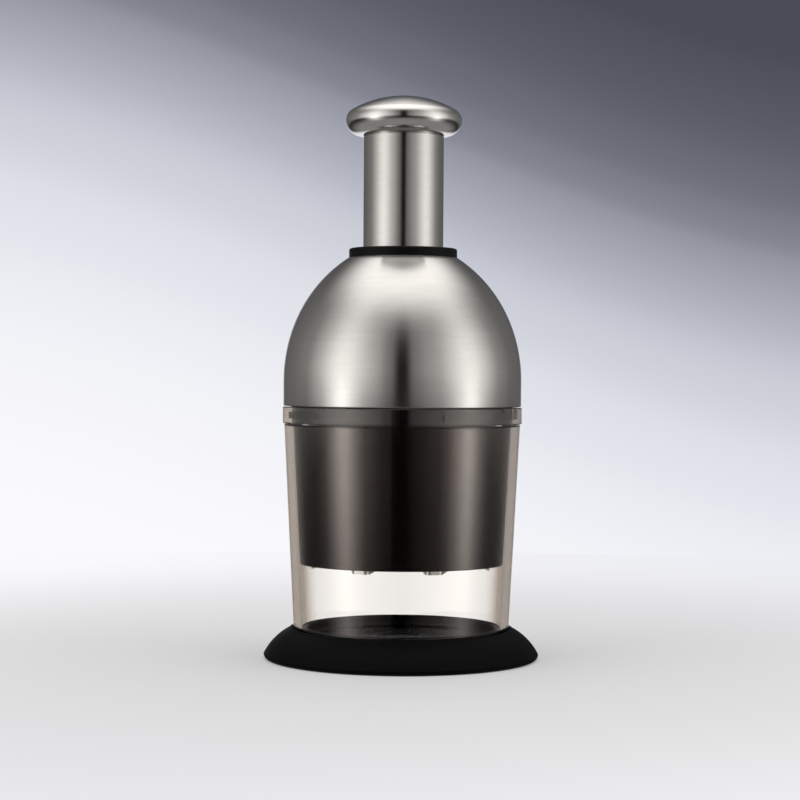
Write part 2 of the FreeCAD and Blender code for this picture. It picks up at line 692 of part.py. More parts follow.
def guide_bush():
    """The slippery bush that the tube runs in, trapped between the housing and the collar."""
    body = new_body("guide_bush")
    outside = housing_bore + sheet.fit_gap * 3.0
    lead_in = sheet.edge_round
    revolve(body, "Bush", [
        (bush_bore + lead_in, bush_bottom),
        (outside, bush_bottom),
        (outside, collar_plug_bottom),
        (bush_bore + lead_in, collar_plug_bottom),
        (bush_bore, collar_plug_bottom - lead_in),
        (bush_bore, bush_bottom + lead_in),
    ])
    return body


def mechanism_plate():
    """The plate that closes the head. Its hub holds the nut, and its boss centres the spring."""
    body = new_body("mechanism_plate")
    edge = ring_bore - sheet.fit_gap
    boss = sheet.spring_radius - sheet.spring_wire / 2.0 - sheet.turn_gap
    hold_down = flange_top + sheet.turn_gap
    revolve(body, "Plate", [
        (sheet.pocket_radius, hub_bottom),
        (sheet.hub_radius, hub_bottom),
        (sheet.hub_radius, plate_bottom),
        (neck_radius - sheet.neck_wall, plate_bottom),
        (neck_radius, hold_down),
        (edge, hold_down),
        (edge, drum_bottom),
        (boss, drum_bottom),
        (boss, drum_bottom + sheet.spring_wire),
        (shaft_hole, drum_bottom + sheet.spring_wire),
        (shaft_hole, pocket_top),
        (sheet.pocket_radius, pocket_top),
    ])
    holes = new_sketch(body, "Pilot_holes_plan", "XY_Plane", drum_bottom + sheet.edge_round)
    circle(holes, housing_screw_circle, 0, sheet.small_screw_radius + sheet.fit_gap)
    hole = extrude(body, "Pilot_hole", holes, sheet.edge_round + sheet.plate_thickness * 1.5,
                   "PartDesign::Pocket")
    around(body, "Pilot_holes", hole, sheet.housing_screw_count)
    turn(body, locked_angle)
    return body


def face_teeth(body, height, upwards):
    """Saw teeth round a face: one sided teeth that let the nut slip one way and lock the other."""
    inner = sheet.tooth_inner_radius
    tip = height + sheet.tooth_height if upwards else height - sheet.tooth_height
    root_z = height - sheet.fit_gap if upwards else height + sheet.fit_gap
    half = sheet.tooth_width / 2.0
    sketch = new_sketch(body, "Tooth_section", "YZ_Plane", inner)
    trace(sketch, [(-half, root_z), (half, root_z), (half, tip)])
    tooth = extrude(body, "Tooth", sketch, sheet.tooth_outer_radius - inner)
    around(body, "Teeth", tooth, sheet.tooth_count)


def ratchet_ring():
    """The fixed ratchet ring at the top of the nut's pocket."""
    body = new_body("ratchet_ring")
    revolve(body, "Ring", rectangle(shaft_hole, sheet.pocket_radius - sheet.fit_gap / 2.0,
                                    ratchet_bottom, pocket_top))
    face_teeth(body, ratchet_bottom, False)
    return body


def index_nut():
    """The nut that the fluted shaft runs through. Its helical keys lie in the flutes, and its teeth
    meet the ratchet ring."""
    body = new_body("index_nut")
    bore = sheet.shaft_radius + sheet.key_gap
    revolve(body, "Nut", rectangle(bore, sheet.pocket_radius - sheet.turn_gap, nut_bottom, nut_top))
    key_section = new_sketch(body, "Key_section", "XZ_Plane")
    key_radius = sheet.flute_radius - sheet.key_gap
    circle(key_section, sheet.shaft_radius, nut_bottom + key_radius, key_radius)
    key = body.newObject("PartDesign::AdditiveHelix", "Key")
    key.Profile = key_section
    key.ReferenceAxis = (key_section, ["V_Axis"])
    key.Mode = "pitch-height-angle"
    key.Pitch = float(flute_lead)
    key.setExpression("Pitch", flute_lead.formula)
    key_run = sheet.nut_thickness - key_radius * 2.0
    key.Height = float(key_run)
    key.setExpression("Height", key_run.formula)
    around(body, "Keys", key, sheet.flute_count)
    face_teeth(body, nut_top, True)
    half_tooth = Size(180.0, "180") / sheet.tooth_count
    turn(body, half_tooth)
    return body


def nut_spring():
    """The small disc spring that presses the nut against the ratchet ring."""
    body = new_body("nut_spring")
    outer = sheet.pocket_radius - sheet.turn_gap
    inner = shaft_hole + sheet.turn_gap
    sheet_height = sheet.nut_spring_sheet
    revolve(body, "Disc", [
        (inner, nut_bottom - sheet_height),
        (outer, nut_spring_bottom),
        (outer, nut_spring_bottom + sheet_height),
        (inner, nut_bottom),
    ])
    return body


def nut_retainer():
    """The ring that snaps into the hub under the nut."""
    body = new_body("nut_retainer")
    revolve(body, "Retainer", rectangle(shaft_hole, sheet.pocket_radius - sheet.fit_gap / 2.0,
                                        retainer_top - sheet.retainer_thickness, retainer_top))
    return body


def end_bumper():
    """The rubber ring that stops the tube softly at the end of the stroke."""
    body = new_body("end_bumper")
    revolve(body, "Bumper", rectangle(tube_bore - sheet.turn_gap, housing_bore - sheet.turn_gap,
                                      drum_bottom, bumper_top))
    return body


def housing_screws():
    """The screws that clamp housing, bayonet ring and mechanism plate together."""
    body = new_body("housing_screws")
    body.AllowCompound = True
    low = plate_bottom + sheet.turn_gap
    plan = new_sketch(body, "Shank_plan", "XY_Plane", low)
    circle(plan, housing_screw_circle, 0, sheet.small_screw_radius)
    extrude(body, "Shank", plan, housing_seat - low)
    shank = body.Tip
    head_plan = new_sketch(body, "Head_plan", "XY_Plane", housing_seat)
    circle(head_plan, housing_screw_circle, 0, sheet.small_screw_head_radius)
    head = extrude(body, "Head", head_plan, sheet.small_screw_radius)
    pattern = around(body, "Screws", head, sheet.housing_screw_count)
    pattern.Originals = [shank, head]
    turn(body, locked_angle)
    return body


def handle_tube():
    """The steel handle tube, from the stop ring inside the housing up into the knob."""
    body = new_body("handle_tube")
    top = knob_bottom + sheet.knob_wall
    revolve(body, "Tube", rectangle(tube_bore, sheet.tube_radius, tube_bottom, top))
    plan = new_sketch(body, "Rivet_hole_section", "YZ_Plane", tube_bore - sheet.tube_wall)
    circle(plan, 0, core_bottom + sheet.core_flange / 2.0, sheet.rivet_radius)
    hole = extrude(body, "Rivet_hole", plan, sheet.tube_wall * 3.0, "PartDesign::Pocket", True)
    around(body, "Rivet_holes", hole, sheet.flute_count)
    return body


def stop_ring():
    """The ring on the tube's lower end that keeps the plunger from being pulled out."""
    body = new_body("stop_ring")
    revolve(body, "Ring", rectangle(sheet.tube_radius + sheet.fit_gap / 2.0, stop_ring_radius,
                                    tube_bottom, stop_ring_top))
    return body


def plunger_core():
    """The core fixed in the tube. The spring pushes on its underside and the shaft hangs in it."""
    body = new_body("plunger_core")
    outside = tube_bore - sheet.fit_gap
    journal = sheet.shaft_radius + sheet.journal_gap
    cavity_bottom = core_bottom + sheet.journal_length
    cavity_top = core_top - sheet.core_lid
    boss = sheet.spring_radius - sheet.spring_wire / 2.0 - sheet.turn_gap
    screw_hole = sheet.screw_radius + sheet.fit_gap
    revolve(body, "Core", [
        (journal, core_bottom - sheet.spring_wire),
        (boss, core_bottom - sheet.spring_wire),
        (boss, core_bottom),
        (outside, core_bottom),
        (outside, core_bottom + sheet.core_flange),
        (sheet.core_stem_radius, core_bottom + sheet.core_flange),
        (sheet.core_stem_radius, core_top - sheet.core_top_flange),
        (outside, core_top - sheet.core_top_flange),
        (outside, core_top),
        (screw_hole, core_top),
        (screw_hole, cavity_top),
        (sheet.swivel_cavity_radius, cavity_top),
        (sheet.swivel_cavity_radius, cavity_bottom),
        (journal, cavity_bottom),
    ])
    plan = new_sketch(body, "Rivet_hole_section", "YZ_Plane", sheet.core_stem_radius)
    circle(plan, 0, core_bottom + sheet.core_flange / 2.0, sheet.rivet_radius)
    hole = extrude(body, "Rivet_hole", plan, tube_bore, "PartDesign::Pocket", True)
    around(body, "Rivet_holes", hole, sheet.flute_count)
    return body


def core_rivets():
    """The rivets that fix the core in the tube."""
    body = new_body("core_rivets")
    body.AllowCompound = True
    start = sheet.core_stem_radius + sheet.fit_gap
    plan = new_sketch(body, "Rivet_section", "YZ_Plane", start)
    circle(plan, 0, core_bottom + sheet.core_flange / 2.0, sheet.rivet_radius - sheet.fit_gap / 2.0)
    rivet = extrude(body, "Rivet", plan, sheet.tube_radius - sheet.fit_gap - start)
    around(body, "Rivets", rivet, sheet.flute_count)
    return body


# The knob's outline: a broad crown, a tight shoulder and a round underside, each tangent to the next.
shoulder_bend = ((sheet.knob_radius * sheet.knob_radius + sheet.knob_crown * sheet.knob_crown
                  - sheet.knob_crown_bend * sheet.knob_crown * 2.0)
                 / ((sheet.knob_radius - sheet.knob_crown_bend) * 2.0))
shoulder_centre_r = sheet.knob_radius - shoulder_bend
crown_centre_z = knob_waist + sheet.knob_crown - sheet.knob_crown_bend
crown_share = sheet.knob_crown_bend / (sheet.knob_crown_bend - shoulder_bend)
crown_rise = (knob_waist - crown_centre_z) * crown_share


def knob_outline(inset):
    """The knob's outline drawn in by inset: from the top of the crown to the underside."""
    share = (sheet.knob_crown_bend - inset) / sheet.knob_crown_bend
    under = sheet.knob_under
    mouth = sheet.tube_radius + sheet.fit_gap
    return {
        "top": crown_centre_z + sheet.knob_crown_bend - inset,
        "crown_end_r": shoulder_centre_r * crown_share * share,
        "crown_end_z": crown_centre_z + crown_rise * share,
        "crown_bend": sheet.knob_crown_bend - inset,
        "shoulder_bend": shoulder_bend - inset,
        "waist_r": sheet.knob_radius - inset,
        "under_r": sheet.knob_radius - under,
        "under_z": knob_waist - under + inset,
        "under_bend": under - inset,
        "mouth": mouth,
    }


def knob_cap():
    """The polished steel knob, spun from sheet and closed over its insert."""
    body = new_body("knob_cap")
    out = knob_outline(0.0)
    inside = knob_outline(sheet.knob_wall)
    revolve(body, "Cap", [
        (0, inside["top"]),
        (inside["crown_end_r"], inside["crown_end_z"], -inside["crown_bend"]),
        (inside["waist_r"], knob_waist, -inside["shoulder_bend"]),
        (inside["under_r"], inside["under_z"], -inside["under_bend"]),
        (inside["mouth"], inside["under_z"]),
        (out["mouth"], out["under_z"]),
        (out["under_r"], out["under_z"]),
        (out["waist_r"], knob_waist, out["under_bend"]),
        (out["crown_end_r"], out["crown_end_z"], out["shoulder_bend"]),
        (0, out["top"], out["crown_bend"]),
    ])
    return body


def knob_insert():
    """The moulded insert: a plug in the tube and a head that fills the knob."""
    body = new_body("knob_insert")
    plug = tube_bore - sheet.fit_gap
    low = knob_bottom - sheet.insert_plug
    head_low = knob_bottom + sheet.knob_wall + sheet.fit_gap
    inside = knob_outline(sheet.knob_wall + sheet.fit_gap)
    screw_hole = sheet.screw_radius + sheet.fit_gap
    head_top = crown_centre_z + crown_rise
    revolve(body, "Insert", [
        (screw_hole, low),
        (plug, low),
        (plug, head_low),
        (inside["under_r"], head_low),
        (inside["waist_r"], knob_waist, inside["under_bend"]),
        (inside["crown_end_r"], inside["crown_end_z"], inside["shoulder_bend"]),
        (0, inside["top"], inside["crown_bend"]),
        (0, head_top - sheet.insert_plug / 2.0),
        (screw_hole, head_top - sheet.insert_plug / 2.0),
    ])
    return body


def screw(label, head_bottom, head_height, shank_tip, upwards):
    """A round headed screw on the axis. Its shank points up or down from its head."""
    body = new_body(label)
    radius = sheet.screw_radius
    head = sheet.screw_head_radius
    head_top = head_bottom + head_height
    if upwards:
        path = [(0, head_bottom), (head, head_bottom), (head, head_top),
                (radius, head_top), (radius, shank_tip), (0, shank_tip)]
    else:
        path = [(0, shank_tip), (radius, shank_tip), (radius, head_bottom),
                (head, head_bottom), (head, head_top), (0, head_top)]
    revolve(body, "Screw", path)
    slot_level = head_bottom if upwards else head_top
    plan = new_sketch(body, "Slot_plan", "XY_Plane", slot_level)
    half = sheet.driver_slot_width / 2.0
    trace(plan, [(-head, -half), (head, -half), (head, half), (-head, half)])
    extrude(body, "Driver_slot", plan, sheet.driver_slot_depth, "PartDesign::Pocket", upwards)
    return body


def knob_screw():
    """The screw that draws the knob's insert down on to the core."""
    seat = core_top - sheet.core_lid
    tip = knob_bottom - sheet.knob_under
    return screw("knob_screw", seat - sheet.screw_head_height, sheet.screw_head_height, tip, True)


def swivel_washer():
    """The washer that the shaft hangs from, free to turn on the core."""
    body = new_body("swivel_washer")
    bore = sheet.screw_radius + sheet.fit_gap
    outside = sheet.swivel_cavity_radius - sheet.turn_gap
    revolve(body, "Washer", rectangle(bore, outside, shaft_top, shaft_top + sheet.washer_thickness))
    return body


def swivel_screw():
    """The screw that holds the washer on the shaft's end."""
    head = shaft_top + sheet.washer_thickness
    return screw("swivel_screw", head, sheet.screw_head_height, shaft_top - sheet.journal_length, False)


def carrier_screw():
    """The screw that draws the carrier on to the shaft from below."""
    head = carrier_bottom + sheet.fit_gap
    tip = carrier_top + sheet.journal_length
    return screw("carrier_screw", head, sheet.screw_head_height, tip, True)


def drive_shaft():
    """The drive shaft: three long helical flutes that the nut's keys run in, tapped at both ends."""
    body = new_body("drive_shaft")
    tapped = sheet.screw_radius + sheet.fit_gap / 2.0
    low = carrier_bottom + sheet.screw_head_height + sheet.fit_gap * 2.0
    low_tap = carrier_top + sheet.journal_length + sheet.edge_round
    high_tap = shaft_top - sheet.journal_length - sheet.edge_round
    flute_start = carrier_hub_top + sheet.flute_radius * 2.0
    edge = sheet.edge_round
    revolve(body, "Shaft", [
        (tapped, low),
        (sheet.shaft_radius - edge, low),
        (sheet.shaft_radius, low + edge),
        (sheet.shaft_radius, shaft_top - edge),
        (sheet.shaft_radius - edge, shaft_top),
        (tapped, shaft_top),
        (tapped, high_tap),
        (0, high_tap),
        (0, low_tap),
        (tapped, low_tap),
    ])
    section = new_sketch(body, "Flute_section", "XZ_Plane")
    circle(section, sheet.shaft_radius, flute_start, sheet.flute_radius)
    flute = body.newObject("PartDesign::SubtractiveHelix", "Flute")
    flute.Profile = section
    flute.ReferenceAxis = (section, ["V_Axis"])
    flute.Mode = "pitch-height-angle"
    flute.Pitch = float(flute_lead)
    flute.setExpression("Pitch", flute_lead.formula)
    run = nut_top + stroke + sheet.flute_radius * 2.0 - flute_start
    flute.Height = float(run)
    flute.setExpression("Height", run.formula)
    around(body, "Flutes", flute, sheet.flute_count)
    key_start = nut_bottom + sheet.flute_radius - sheet.key_gap
    half_tooth = Size(180.0, "180") / sheet.tooth_count
    turn(body, half_tooth - (key_start - flute_start) * 360.0 / flute_lead)
    return body


def blade_corners():
    """The corners of the blade's strip in plan. It runs to and fro from a free end on the left to
    one on the right. Each bend has a squared end: two corners, one to each side of its direction,
    which is measured from the front."""
    back = sheet.blade_back_bend
    front = sheet.blade_front_bend
    rear = Size(180.0, "180")
    half = sheet.blade_bend_width / 2.0
    corners = [(-(blade_reach * sine(sheet.blade_end)), -(blade_reach * cosine(sheet.blade_end)))]
    for direction, side in ((-back, -1.0), (-front, 1.0), (rear, -1.0), (front, 1.0), (back, -1.0)):
        for step in (-side, side):
            across = blade_reach * sine(direction) + half * cosine(direction) * step
            up = -(blade_reach * cosine(direction)) + half * sine(direction) * step
            corners.append((across, up))
    corners.append((blade_reach * sine(sheet.blade_end), corners[0][1]))
    return corners


def blade_plan():
    """The blade's centre line in plan: straight legs, joined by bends of one radius."""
    sketch = doc.addObject("Sketcher::SketchObject", "Blade_plan")
    corners = blade_corners()
    points = [Vector(float(across), float(up), 0) for across, up in corners]
    bend = sheet.blade_bend
    starts = [points[0]]
    stops = []
    for before, corner, after in zip(points, points[1:], points[2:]):
        way_in = (corner - before).normalize()
        way_out = (after - corner).normalize()
        trim = float(bend) * math.tan(way_in.getAngle(way_out) / 2.0)
        stops.append(corner - way_in * trim)
        starts.append(corner + way_out * trim)
    stops.append(points[-1])
    legs = [sketch.addGeometry(Part.LineSegment(first, last)) for first, last in zip(starts, stops)]
    hold(sketch, legs[0], 1, *corners[0])
    hold(sketch, legs[-1], 2, *corners[-1])
    for number, leg in enumerate(legs[:-1]):
        following = legs[number + 1]
        cross = (stops[number] - points[number]).cross(starts[number + 1] - stops[number]).z
        arc = sketch.addGeometry(arc_between(stops[number], starts[number + 1],
                                             math.copysign(float(bend), cross)))
        tail, head = (1, 2) if cross > 0 else (2, 1)
        mark = sketch.addGeometry(Part.Point(points[number + 1]), True)
        sketch.addConstraint([
            Sketcher.Constraint("Tangent", leg, 2, arc, tail),
            Sketcher.Constraint("Tangent", arc, head, following, 1),
            Sketcher.Constraint("PointOnObject", mark, 1, leg),
            Sketcher.Constraint("PointOnObject", mark, 1, following),
        ])
        bind(sketch, Sketcher.Constraint("Radius", arc, bend.value), bend.formula)
        hold(sketch, mark, 1, *corners[number + 1])
    sketch.Placement = Placement(Vector(0, 0, 0), Rotation(Vector(0, 0, 1), sheet.blade_rest_angle.value))
    sketch.setExpression("Placement.Rotation.Angle", f"{sheet.blade_rest_angle.formula} * 1 deg")
    return sketch


def blade_strip(name, plan, side, low, high):
    """A solid strip along the blade's plan: side to either side of its centre line."""
    outline = doc.addObject("Part::Offset2D", name + "_outline")
    outline.Source = plan
    outline.Mode = "Pipe"
    outline.Join = "Arc"
    outline.Fill = False
    outline.Value = float(side)
    outline.setExpression("Value", side.formula)
    strip = doc.addObject("Part::Extrusion", name)
    strip.Base = outline
    strip.DirMode = "Custom"
    strip.Dir = Vector(0, 0, 1)
    strip.Solid = True
    strip.LengthFwd = float(high - low)
    strip.setExpression("LengthFwd", (high - low).formula)
    strip.Placement = Placement(Vector(0, 0, float(low)), Rotation())
    strip.setExpression("Placement.Base.z", low.formula)
    return strip


def cut(label, base, tool):
    """A piece that is one solid less another."""
    piece = doc.addObject("Part::Cut", label)
    piece.Label = label
    piece.Base = base
    piece.Tool = tool
    return piece


blade_line = blade_plan()


def chopping_blade():
    """The blade: one strip of spring steel folded into a zigzag that spans the chamber."""
    piece = blade_strip("chopping_blade", blade_line, sheet.blade_thickness / 2.0, blade_bottom, blade_top)
    piece.Label = "chopping_blade"
    return piece


def blade_carrier():
    """The moulded carrier: a ribbed disc with a hub on the shaft and a slot that grips the blade."""
    body = new_body("Carrier_disc")
    bore = sheet.shaft_radius + sheet.fit_gap / 2.0
    step = carrier_bottom + sheet.screw_head_height + sheet.fit_gap * 2.0
    head_hole = sheet.screw_head_radius + sheet.fit_gap
    hub = sheet.carrier_hub_radius
    edge = sheet.edge_round
    revolve(body, "Disc", [
        (head_hole, carrier_bottom),
        (carrier_radius - edge, carrier_bottom),
        (carrier_radius, carrier_bottom + edge, edge),
        (carrier_radius, carrier_top - edge),
        (carrier_radius - edge, carrier_top, edge),
        (hub, carrier_top),
        (hub, carrier_hub_top - edge),
        (hub - edge, carrier_hub_top, edge),
        (bore, carrier_hub_top),
        (bore, step),
        (head_hole, step),
    ])
    plan = new_sketch(body, "Rib_plan", "XY_Plane", carrier_top - edge)
    half = sheet.rib_thickness / 2.0
    reach = carrier_radius - edge * 2.0
    root_r = hub - edge
    trace(plan, [(root_r, -half), (reach, -half), (reach, half), (root_r, half)])
    rib = extrude(body, "Rib", plan, sheet.rib_height + edge)
    around(body, "Ribs", rib, sheet.rib_count)
    slot = blade_strip("Carrier_slot", blade_line, sheet.blade_thickness / 2.0 + sheet.fit_gap / 2.0,
                       carrier_bottom - edge, blade_top + sheet.fit_gap)
    return cut("blade_carrier", body, slot)


def blade_guard():
    """The dark guard cup round the blade. Its neck passes the ledge and its flange hangs on it."""
    body = new_body("blade_guard")
    wall = sheet.guard_wall
    edge = sheet.edge_round
    seat = wiper_seat_radius
    seat_top = wiper_top
    inside_low = guard_outside(seat_top) - wall
    inside_high = guard_outside(guard_top - wall) - wall
    neck_inside = neck_radius - sheet.neck_wall
    revolve(body, "Cup", [
        (seat, guard_bottom),
        (guard_foot_radius - edge, guard_bottom),
        (guard_foot_radius, guard_bottom + edge, edge),
        (guard_shoulder_radius, guard_top - edge * 2.0),
        (guard_shoulder_radius - edge * 2.0, guard_top, edge * 2.0),
        (neck_radius, guard_top),
        (neck_radius, flange_bottom),
        (guard_flange_radius, flange_bottom),
        (guard_flange_radius, flange_top),
        (neck_inside, flange_top),
        (neck_inside, guard_top - wall * 2.0),
        (inside_high, guard_top - wall * 3.0),
        (inside_low, seat_top),
        (seat, seat_top),
    ])
    return body


def wiper_plate():
    """The guard's floor: a plate whose zigzag slot wipes the blade clean on its way up."""
    body = new_body("Wiper_disc")
    radius = wiper_seat_radius - sheet.fit_gap / 2.0
    revolve(body, "Disc", [
        (0, guard_bottom),
        (radius, guard_bottom),
        (radius, wiper_top),
        (0, wiper_top),
    ])
    edge = sheet.edge_round
    slot = blade_strip("Wiper_slot", blade_line, sheet.blade_thickness / 2.0 + sheet.blade_slot_gap,
                       guard_bottom - edge, wiper_top + edge)
    return cut("wiper_plate", body, slot)


def spring_line(turns, low, high):
    """The return spring's centre line, as a function of the turns wound so far: its point and its
    direction. The first and last turns lie close, and the ones between share the rest evenly."""
    radius = sheet.spring_radius.value
    end_pitch = sheet.spring_end_pitch.value
    pitch = (high - low - end_pitch * 2.0) / (turns - 2)

    def at(wound):
        near_end = wound <= 1.0 or wound >= turns - 1
        slope = end_pitch if near_end else pitch
        if wound == 1.0 or wound == turns - 1.0:
            slope = (end_pitch + pitch) / 2.0
        height = low + end_pitch * min(wound, 1.0)
        height += pitch * min(max(wound - 1.0, 0.0), turns - 2.0)
        height += end_pitch * max(wound - (turns - 1.0), 0.0)
        angle = wound * math.tau
        point = Vector(radius * math.cos(angle), radius * math.sin(angle), height)
        course = Vector(-radius * math.sin(angle), radius * math.cos(angle), slope / math.tau)
        return point, course.normalize()

    return at


def arc_from(start, course, end):
    """The arc that leaves start along course and ends at end, with its direction there."""
    chord = end - start
    middle = chord.normalize()
    course_out = middle * (2.0 * course.dot(middle)) - course
    half_turn = course.getAngle(middle)
    rise = (end - start).Length / 2.0 * math.tan(half_turn / 2.0)
    outward = (course - middle * course.dot(middle)).normalize()
    top = (start + end) * 0.5 + outward * rise
    return Part.Arc(start, top, end).toShape(), course_out


def biarc(start, course, end, course_out):
    """Two arcs, tangent to each other and to the directions at both ends."""
    chord = end - start
    both = course + course_out
    spread = 2.0 * (1.0 - course.dot(course_out))
    along = chord.dot(both)
    reach = (-along + math.sqrt(along * along + spread * chord.dot(chord))) / spread
    join = (start + end + (course - course_out) * reach) * 0.5
    first, direction = arc_from(start, course, join)
    second, _ = arc_from(join, direction, end)
    return [first, second]


def least_gap(at, turns, wire):
    """The least gap between one turn of the spring and the next, measured on points."""
    steps = 24
    points = [at(step / steps)[0] for step in range(int(turns * steps) + 1)]
    apart = [first.distanceToPoint(second)
             for index, first in enumerate(points) for second in points[index + steps // 2:]]
    return min(apart) - wire


def return_spring():
    """The return spring: one wire, wound round the shaft between the mechanism plate and the core."""
    wire = sheet.spring_wire.value
    turns = int(sheet.spring_turns.value)
    low = drum_bottom.value + wire / 2.0 + sheet.fit_gap.value
    high = core_bottom.value - wire / 2.0 - sheet.fit_gap.value
    at = spring_line(turns, low, high)
    edges = []
    for quarter in range(turns * 4):
        edges += biarc(*at(quarter / 4.0), *at((quarter + 1) / 4.0))
    path = Part.Wire(edges)
    start, course = at(0.0)
    section = Part.Wire([Part.Circle(start, course, wire / 2.0).toShape()])
    piece = doc.addObject("Part::Feature", "return_spring")
    piece.Label = "return_spring"
    piece.Shape = path.makePipeShell([section], True, False)
    piece.Placement = Placement()
    print(f"return_spring: least gap between turns {least_gap(at, turns, wire):.2f} mm")
    return piece


def write_steps(pieces):
    """Recomputes the document, checks every object in it, and writes each piece to its own file."""
    doc.recompute()
    for item in doc.Objects:
        if "Invalid" in item.State or "Error" in item.State:
            raise RuntimeError(f"{item.Name} is {item.State}")
    os.makedirs("parts", exist_ok=True)
    for piece in pieces:
        shape = piece.Shape
        if shape.isNull() or not shape.isValid() or not shape.Solids:
            raise RuntimeError(f"{piece.Label} has no valid solid")
        shape.exportStep(f"parts/{piece.Label}.step")
        box = shape.optimalBoundingBox()
        print(f"{piece.Label}: {len(shape.Solids)} solid, {shape.Volume:.1f} mm3,"
              f" z {box.ZMin:.2f} to {box.ZMax:.2f}, r {max(box.XMax, box.YMax):.2f}")


PIECES = (
    base_skirt, chopping_tray, clear_container, bayonet_ring, dome_shell, collar_ring, inner_housing,
    guide_bush, mechanism_plate, ratchet_ring, index_nut, nut_spring, nut_retainer, end_bumper,
    housing_screws, handle_tube, stop_ring, plunger_core, core_rivets, knob_cap, knob_insert,
    knob_screw, swivel_washer, swivel_screw, carrier_screw, drive_shaft, blade_carrier, chopping_blade,
    blade_guard, wiper_plate, return_spring,
)
write_steps([make() for make in PIECES])
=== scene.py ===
import math

import bpy
import numpy as np
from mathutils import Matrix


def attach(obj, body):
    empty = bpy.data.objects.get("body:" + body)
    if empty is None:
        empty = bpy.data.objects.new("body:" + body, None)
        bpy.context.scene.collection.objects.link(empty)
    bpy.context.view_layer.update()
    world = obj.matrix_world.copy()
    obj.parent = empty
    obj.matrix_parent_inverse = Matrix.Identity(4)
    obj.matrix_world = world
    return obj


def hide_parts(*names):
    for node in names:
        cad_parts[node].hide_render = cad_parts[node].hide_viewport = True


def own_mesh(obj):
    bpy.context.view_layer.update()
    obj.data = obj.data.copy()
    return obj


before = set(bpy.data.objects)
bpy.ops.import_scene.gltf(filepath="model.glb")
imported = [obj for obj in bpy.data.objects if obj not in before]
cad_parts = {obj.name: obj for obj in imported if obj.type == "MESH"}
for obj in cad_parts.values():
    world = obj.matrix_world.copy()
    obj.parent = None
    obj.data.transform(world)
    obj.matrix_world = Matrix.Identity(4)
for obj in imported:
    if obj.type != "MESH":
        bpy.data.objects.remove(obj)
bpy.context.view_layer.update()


# ---- Rubber skirt
# The base that the chopper stands on: one soft black rubber moulding, flared outside, with a thin lip
# that hugs the container's foot. It comes matt out of its mould, and dust stays in its fine grain.

class Web:
    """A node tree, filled one node at a time. A call makes a node, sets or feeds its inputs, and
    returns the node."""

    def __init__(self, tree):
        self.tree = tree
        tree.nodes.clear()

    def __call__(self, kind, inputs=None, **settings):
        node = self.tree.nodes.new(kind)
        for key, value in settings.items():
            setattr(node, key, value)
        for socket, value in (inputs or {}).items():
            if isinstance(value, bpy.types.NodeSocket):
                self.tree.links.new(value, node.inputs[socket])
            else:
                node.inputs[socket].default_value = value
        return node

    def feed(self, node, **values):
        """Links values to a node's inputs. An underscore in an input's name stands for a space."""
        for socket, value in values.items():
            self.tree.links.new(value, node.inputs[socket.replace("_", " ")])

    def span(self, value, low, high, from_low=0.0, from_high=1.0, ease="LINEAR"):
        """value, from its own range to the range from low to high."""
        return self("ShaderNodeMapRange", {0: value, 1: from_low, 2: from_high, 3: low, 4: high},
                    interpolation_type=ease).outputs[0]

    def math(self, operation, first, second=0.0):
        """One sum of two values."""
        return self("ShaderNodeMath", {0: first, 1: second}, operation=operation).outputs[0]

    def blend(self, share, first, second):
        """The colour between first and second, each a socket or three numbers."""
        first, second = ((*tone, 1.0) if isinstance(tone, tuple) else tone for tone in (first, second))
        return self("ShaderNodeMix", {0: share, 6: first, 7: second}, data_type="RGBA").outputs[2]

    def stain(self, tone, mask, share, colour):
        """tone, with colour over it where mask is 1, as strongly as share says."""
        return self.blend(self.math("MULTIPLY", mask, share), tone, colour)

    def bump(self, height, distance):
        """A normal raised by height, by at most distance in metres."""
        node = self("ShaderNodeBump", {"Height": height, "Distance": distance, "Strength": 1.0})
        return node.outputs[0]

    def effect(self, group, **inputs):
        """A node group, with its own values."""
        node = self("ShaderNodeGroup", node_tree=group)
        for socket, value in inputs.items():
            node.inputs[socket].default_value = value
        return node.outputs


def effect_group(name, inputs, outputs):
    """An empty node group with number inputs and number outputs: its web, its inputs and its end."""
    tree = bpy.data.node_groups.new(name, "ShaderNodeTree")
    web = Web(tree)
    for label, value in inputs.items():
        socket = tree.interface.new_socket(label, in_out="INPUT", socket_type="NodeSocketFloat")
        socket.default_value = value
    for label in outputs:
        tree.interface.new_socket(label, in_out="OUTPUT", socket_type="NodeSocketFloat")
    return web, web("NodeGroupInput").outputs, web("NodeGroupOutput")


def finish(name, **constants):
    """A material of one Principled shader with constants on its sockets: its web and that shader."""
    material = bpy.data.materials.new(name)
    material.use_nodes = True
    web = Web(material.node_tree)
    shader = web("ShaderNodeBsdfPrincipled")
    for socket, value in constants.items():
        shader.inputs[socket.replace("_", " ")].default_value = value
    web.output = web("ShaderNodeOutputMaterial", {"Surface": shader.outputs[0]})
    web.material = material
    return web, shader


def dress(material, *pieces):
    """Gives pieces one material. A name is a CAD node's."""
    for piece in pieces:
        mesh = (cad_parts[piece] if isinstance(piece, str) else piece).data
        mesh.materials.clear()
        mesh.materials.append(material)


# Grain of a moulded surface: fine noise for the spark-eroded skin, and broad soft noise for the flow of
# the material under it.
web, given, end = effect_group("moulded grain", {"Grain": 4000.0, "Flow": 60.0}, ("Skin", "Flow"))
place = web("ShaderNodeTexCoord").outputs["Object"]
skin = web("ShaderNodeTexNoise", {"Vector": place, "Scale": given["Grain"], "Detail": 3.0,
                                  "Roughness": 0.6})
flow = web("ShaderNodeTexNoise", {"Vector": place, "Scale": given["Flow"], "Detail": 2.0,
                                  "Roughness": 0.5})
web.feed(end, Skin=skin.outputs[0], Flow=flow.outputs[0])
moulded_grain = web.tree

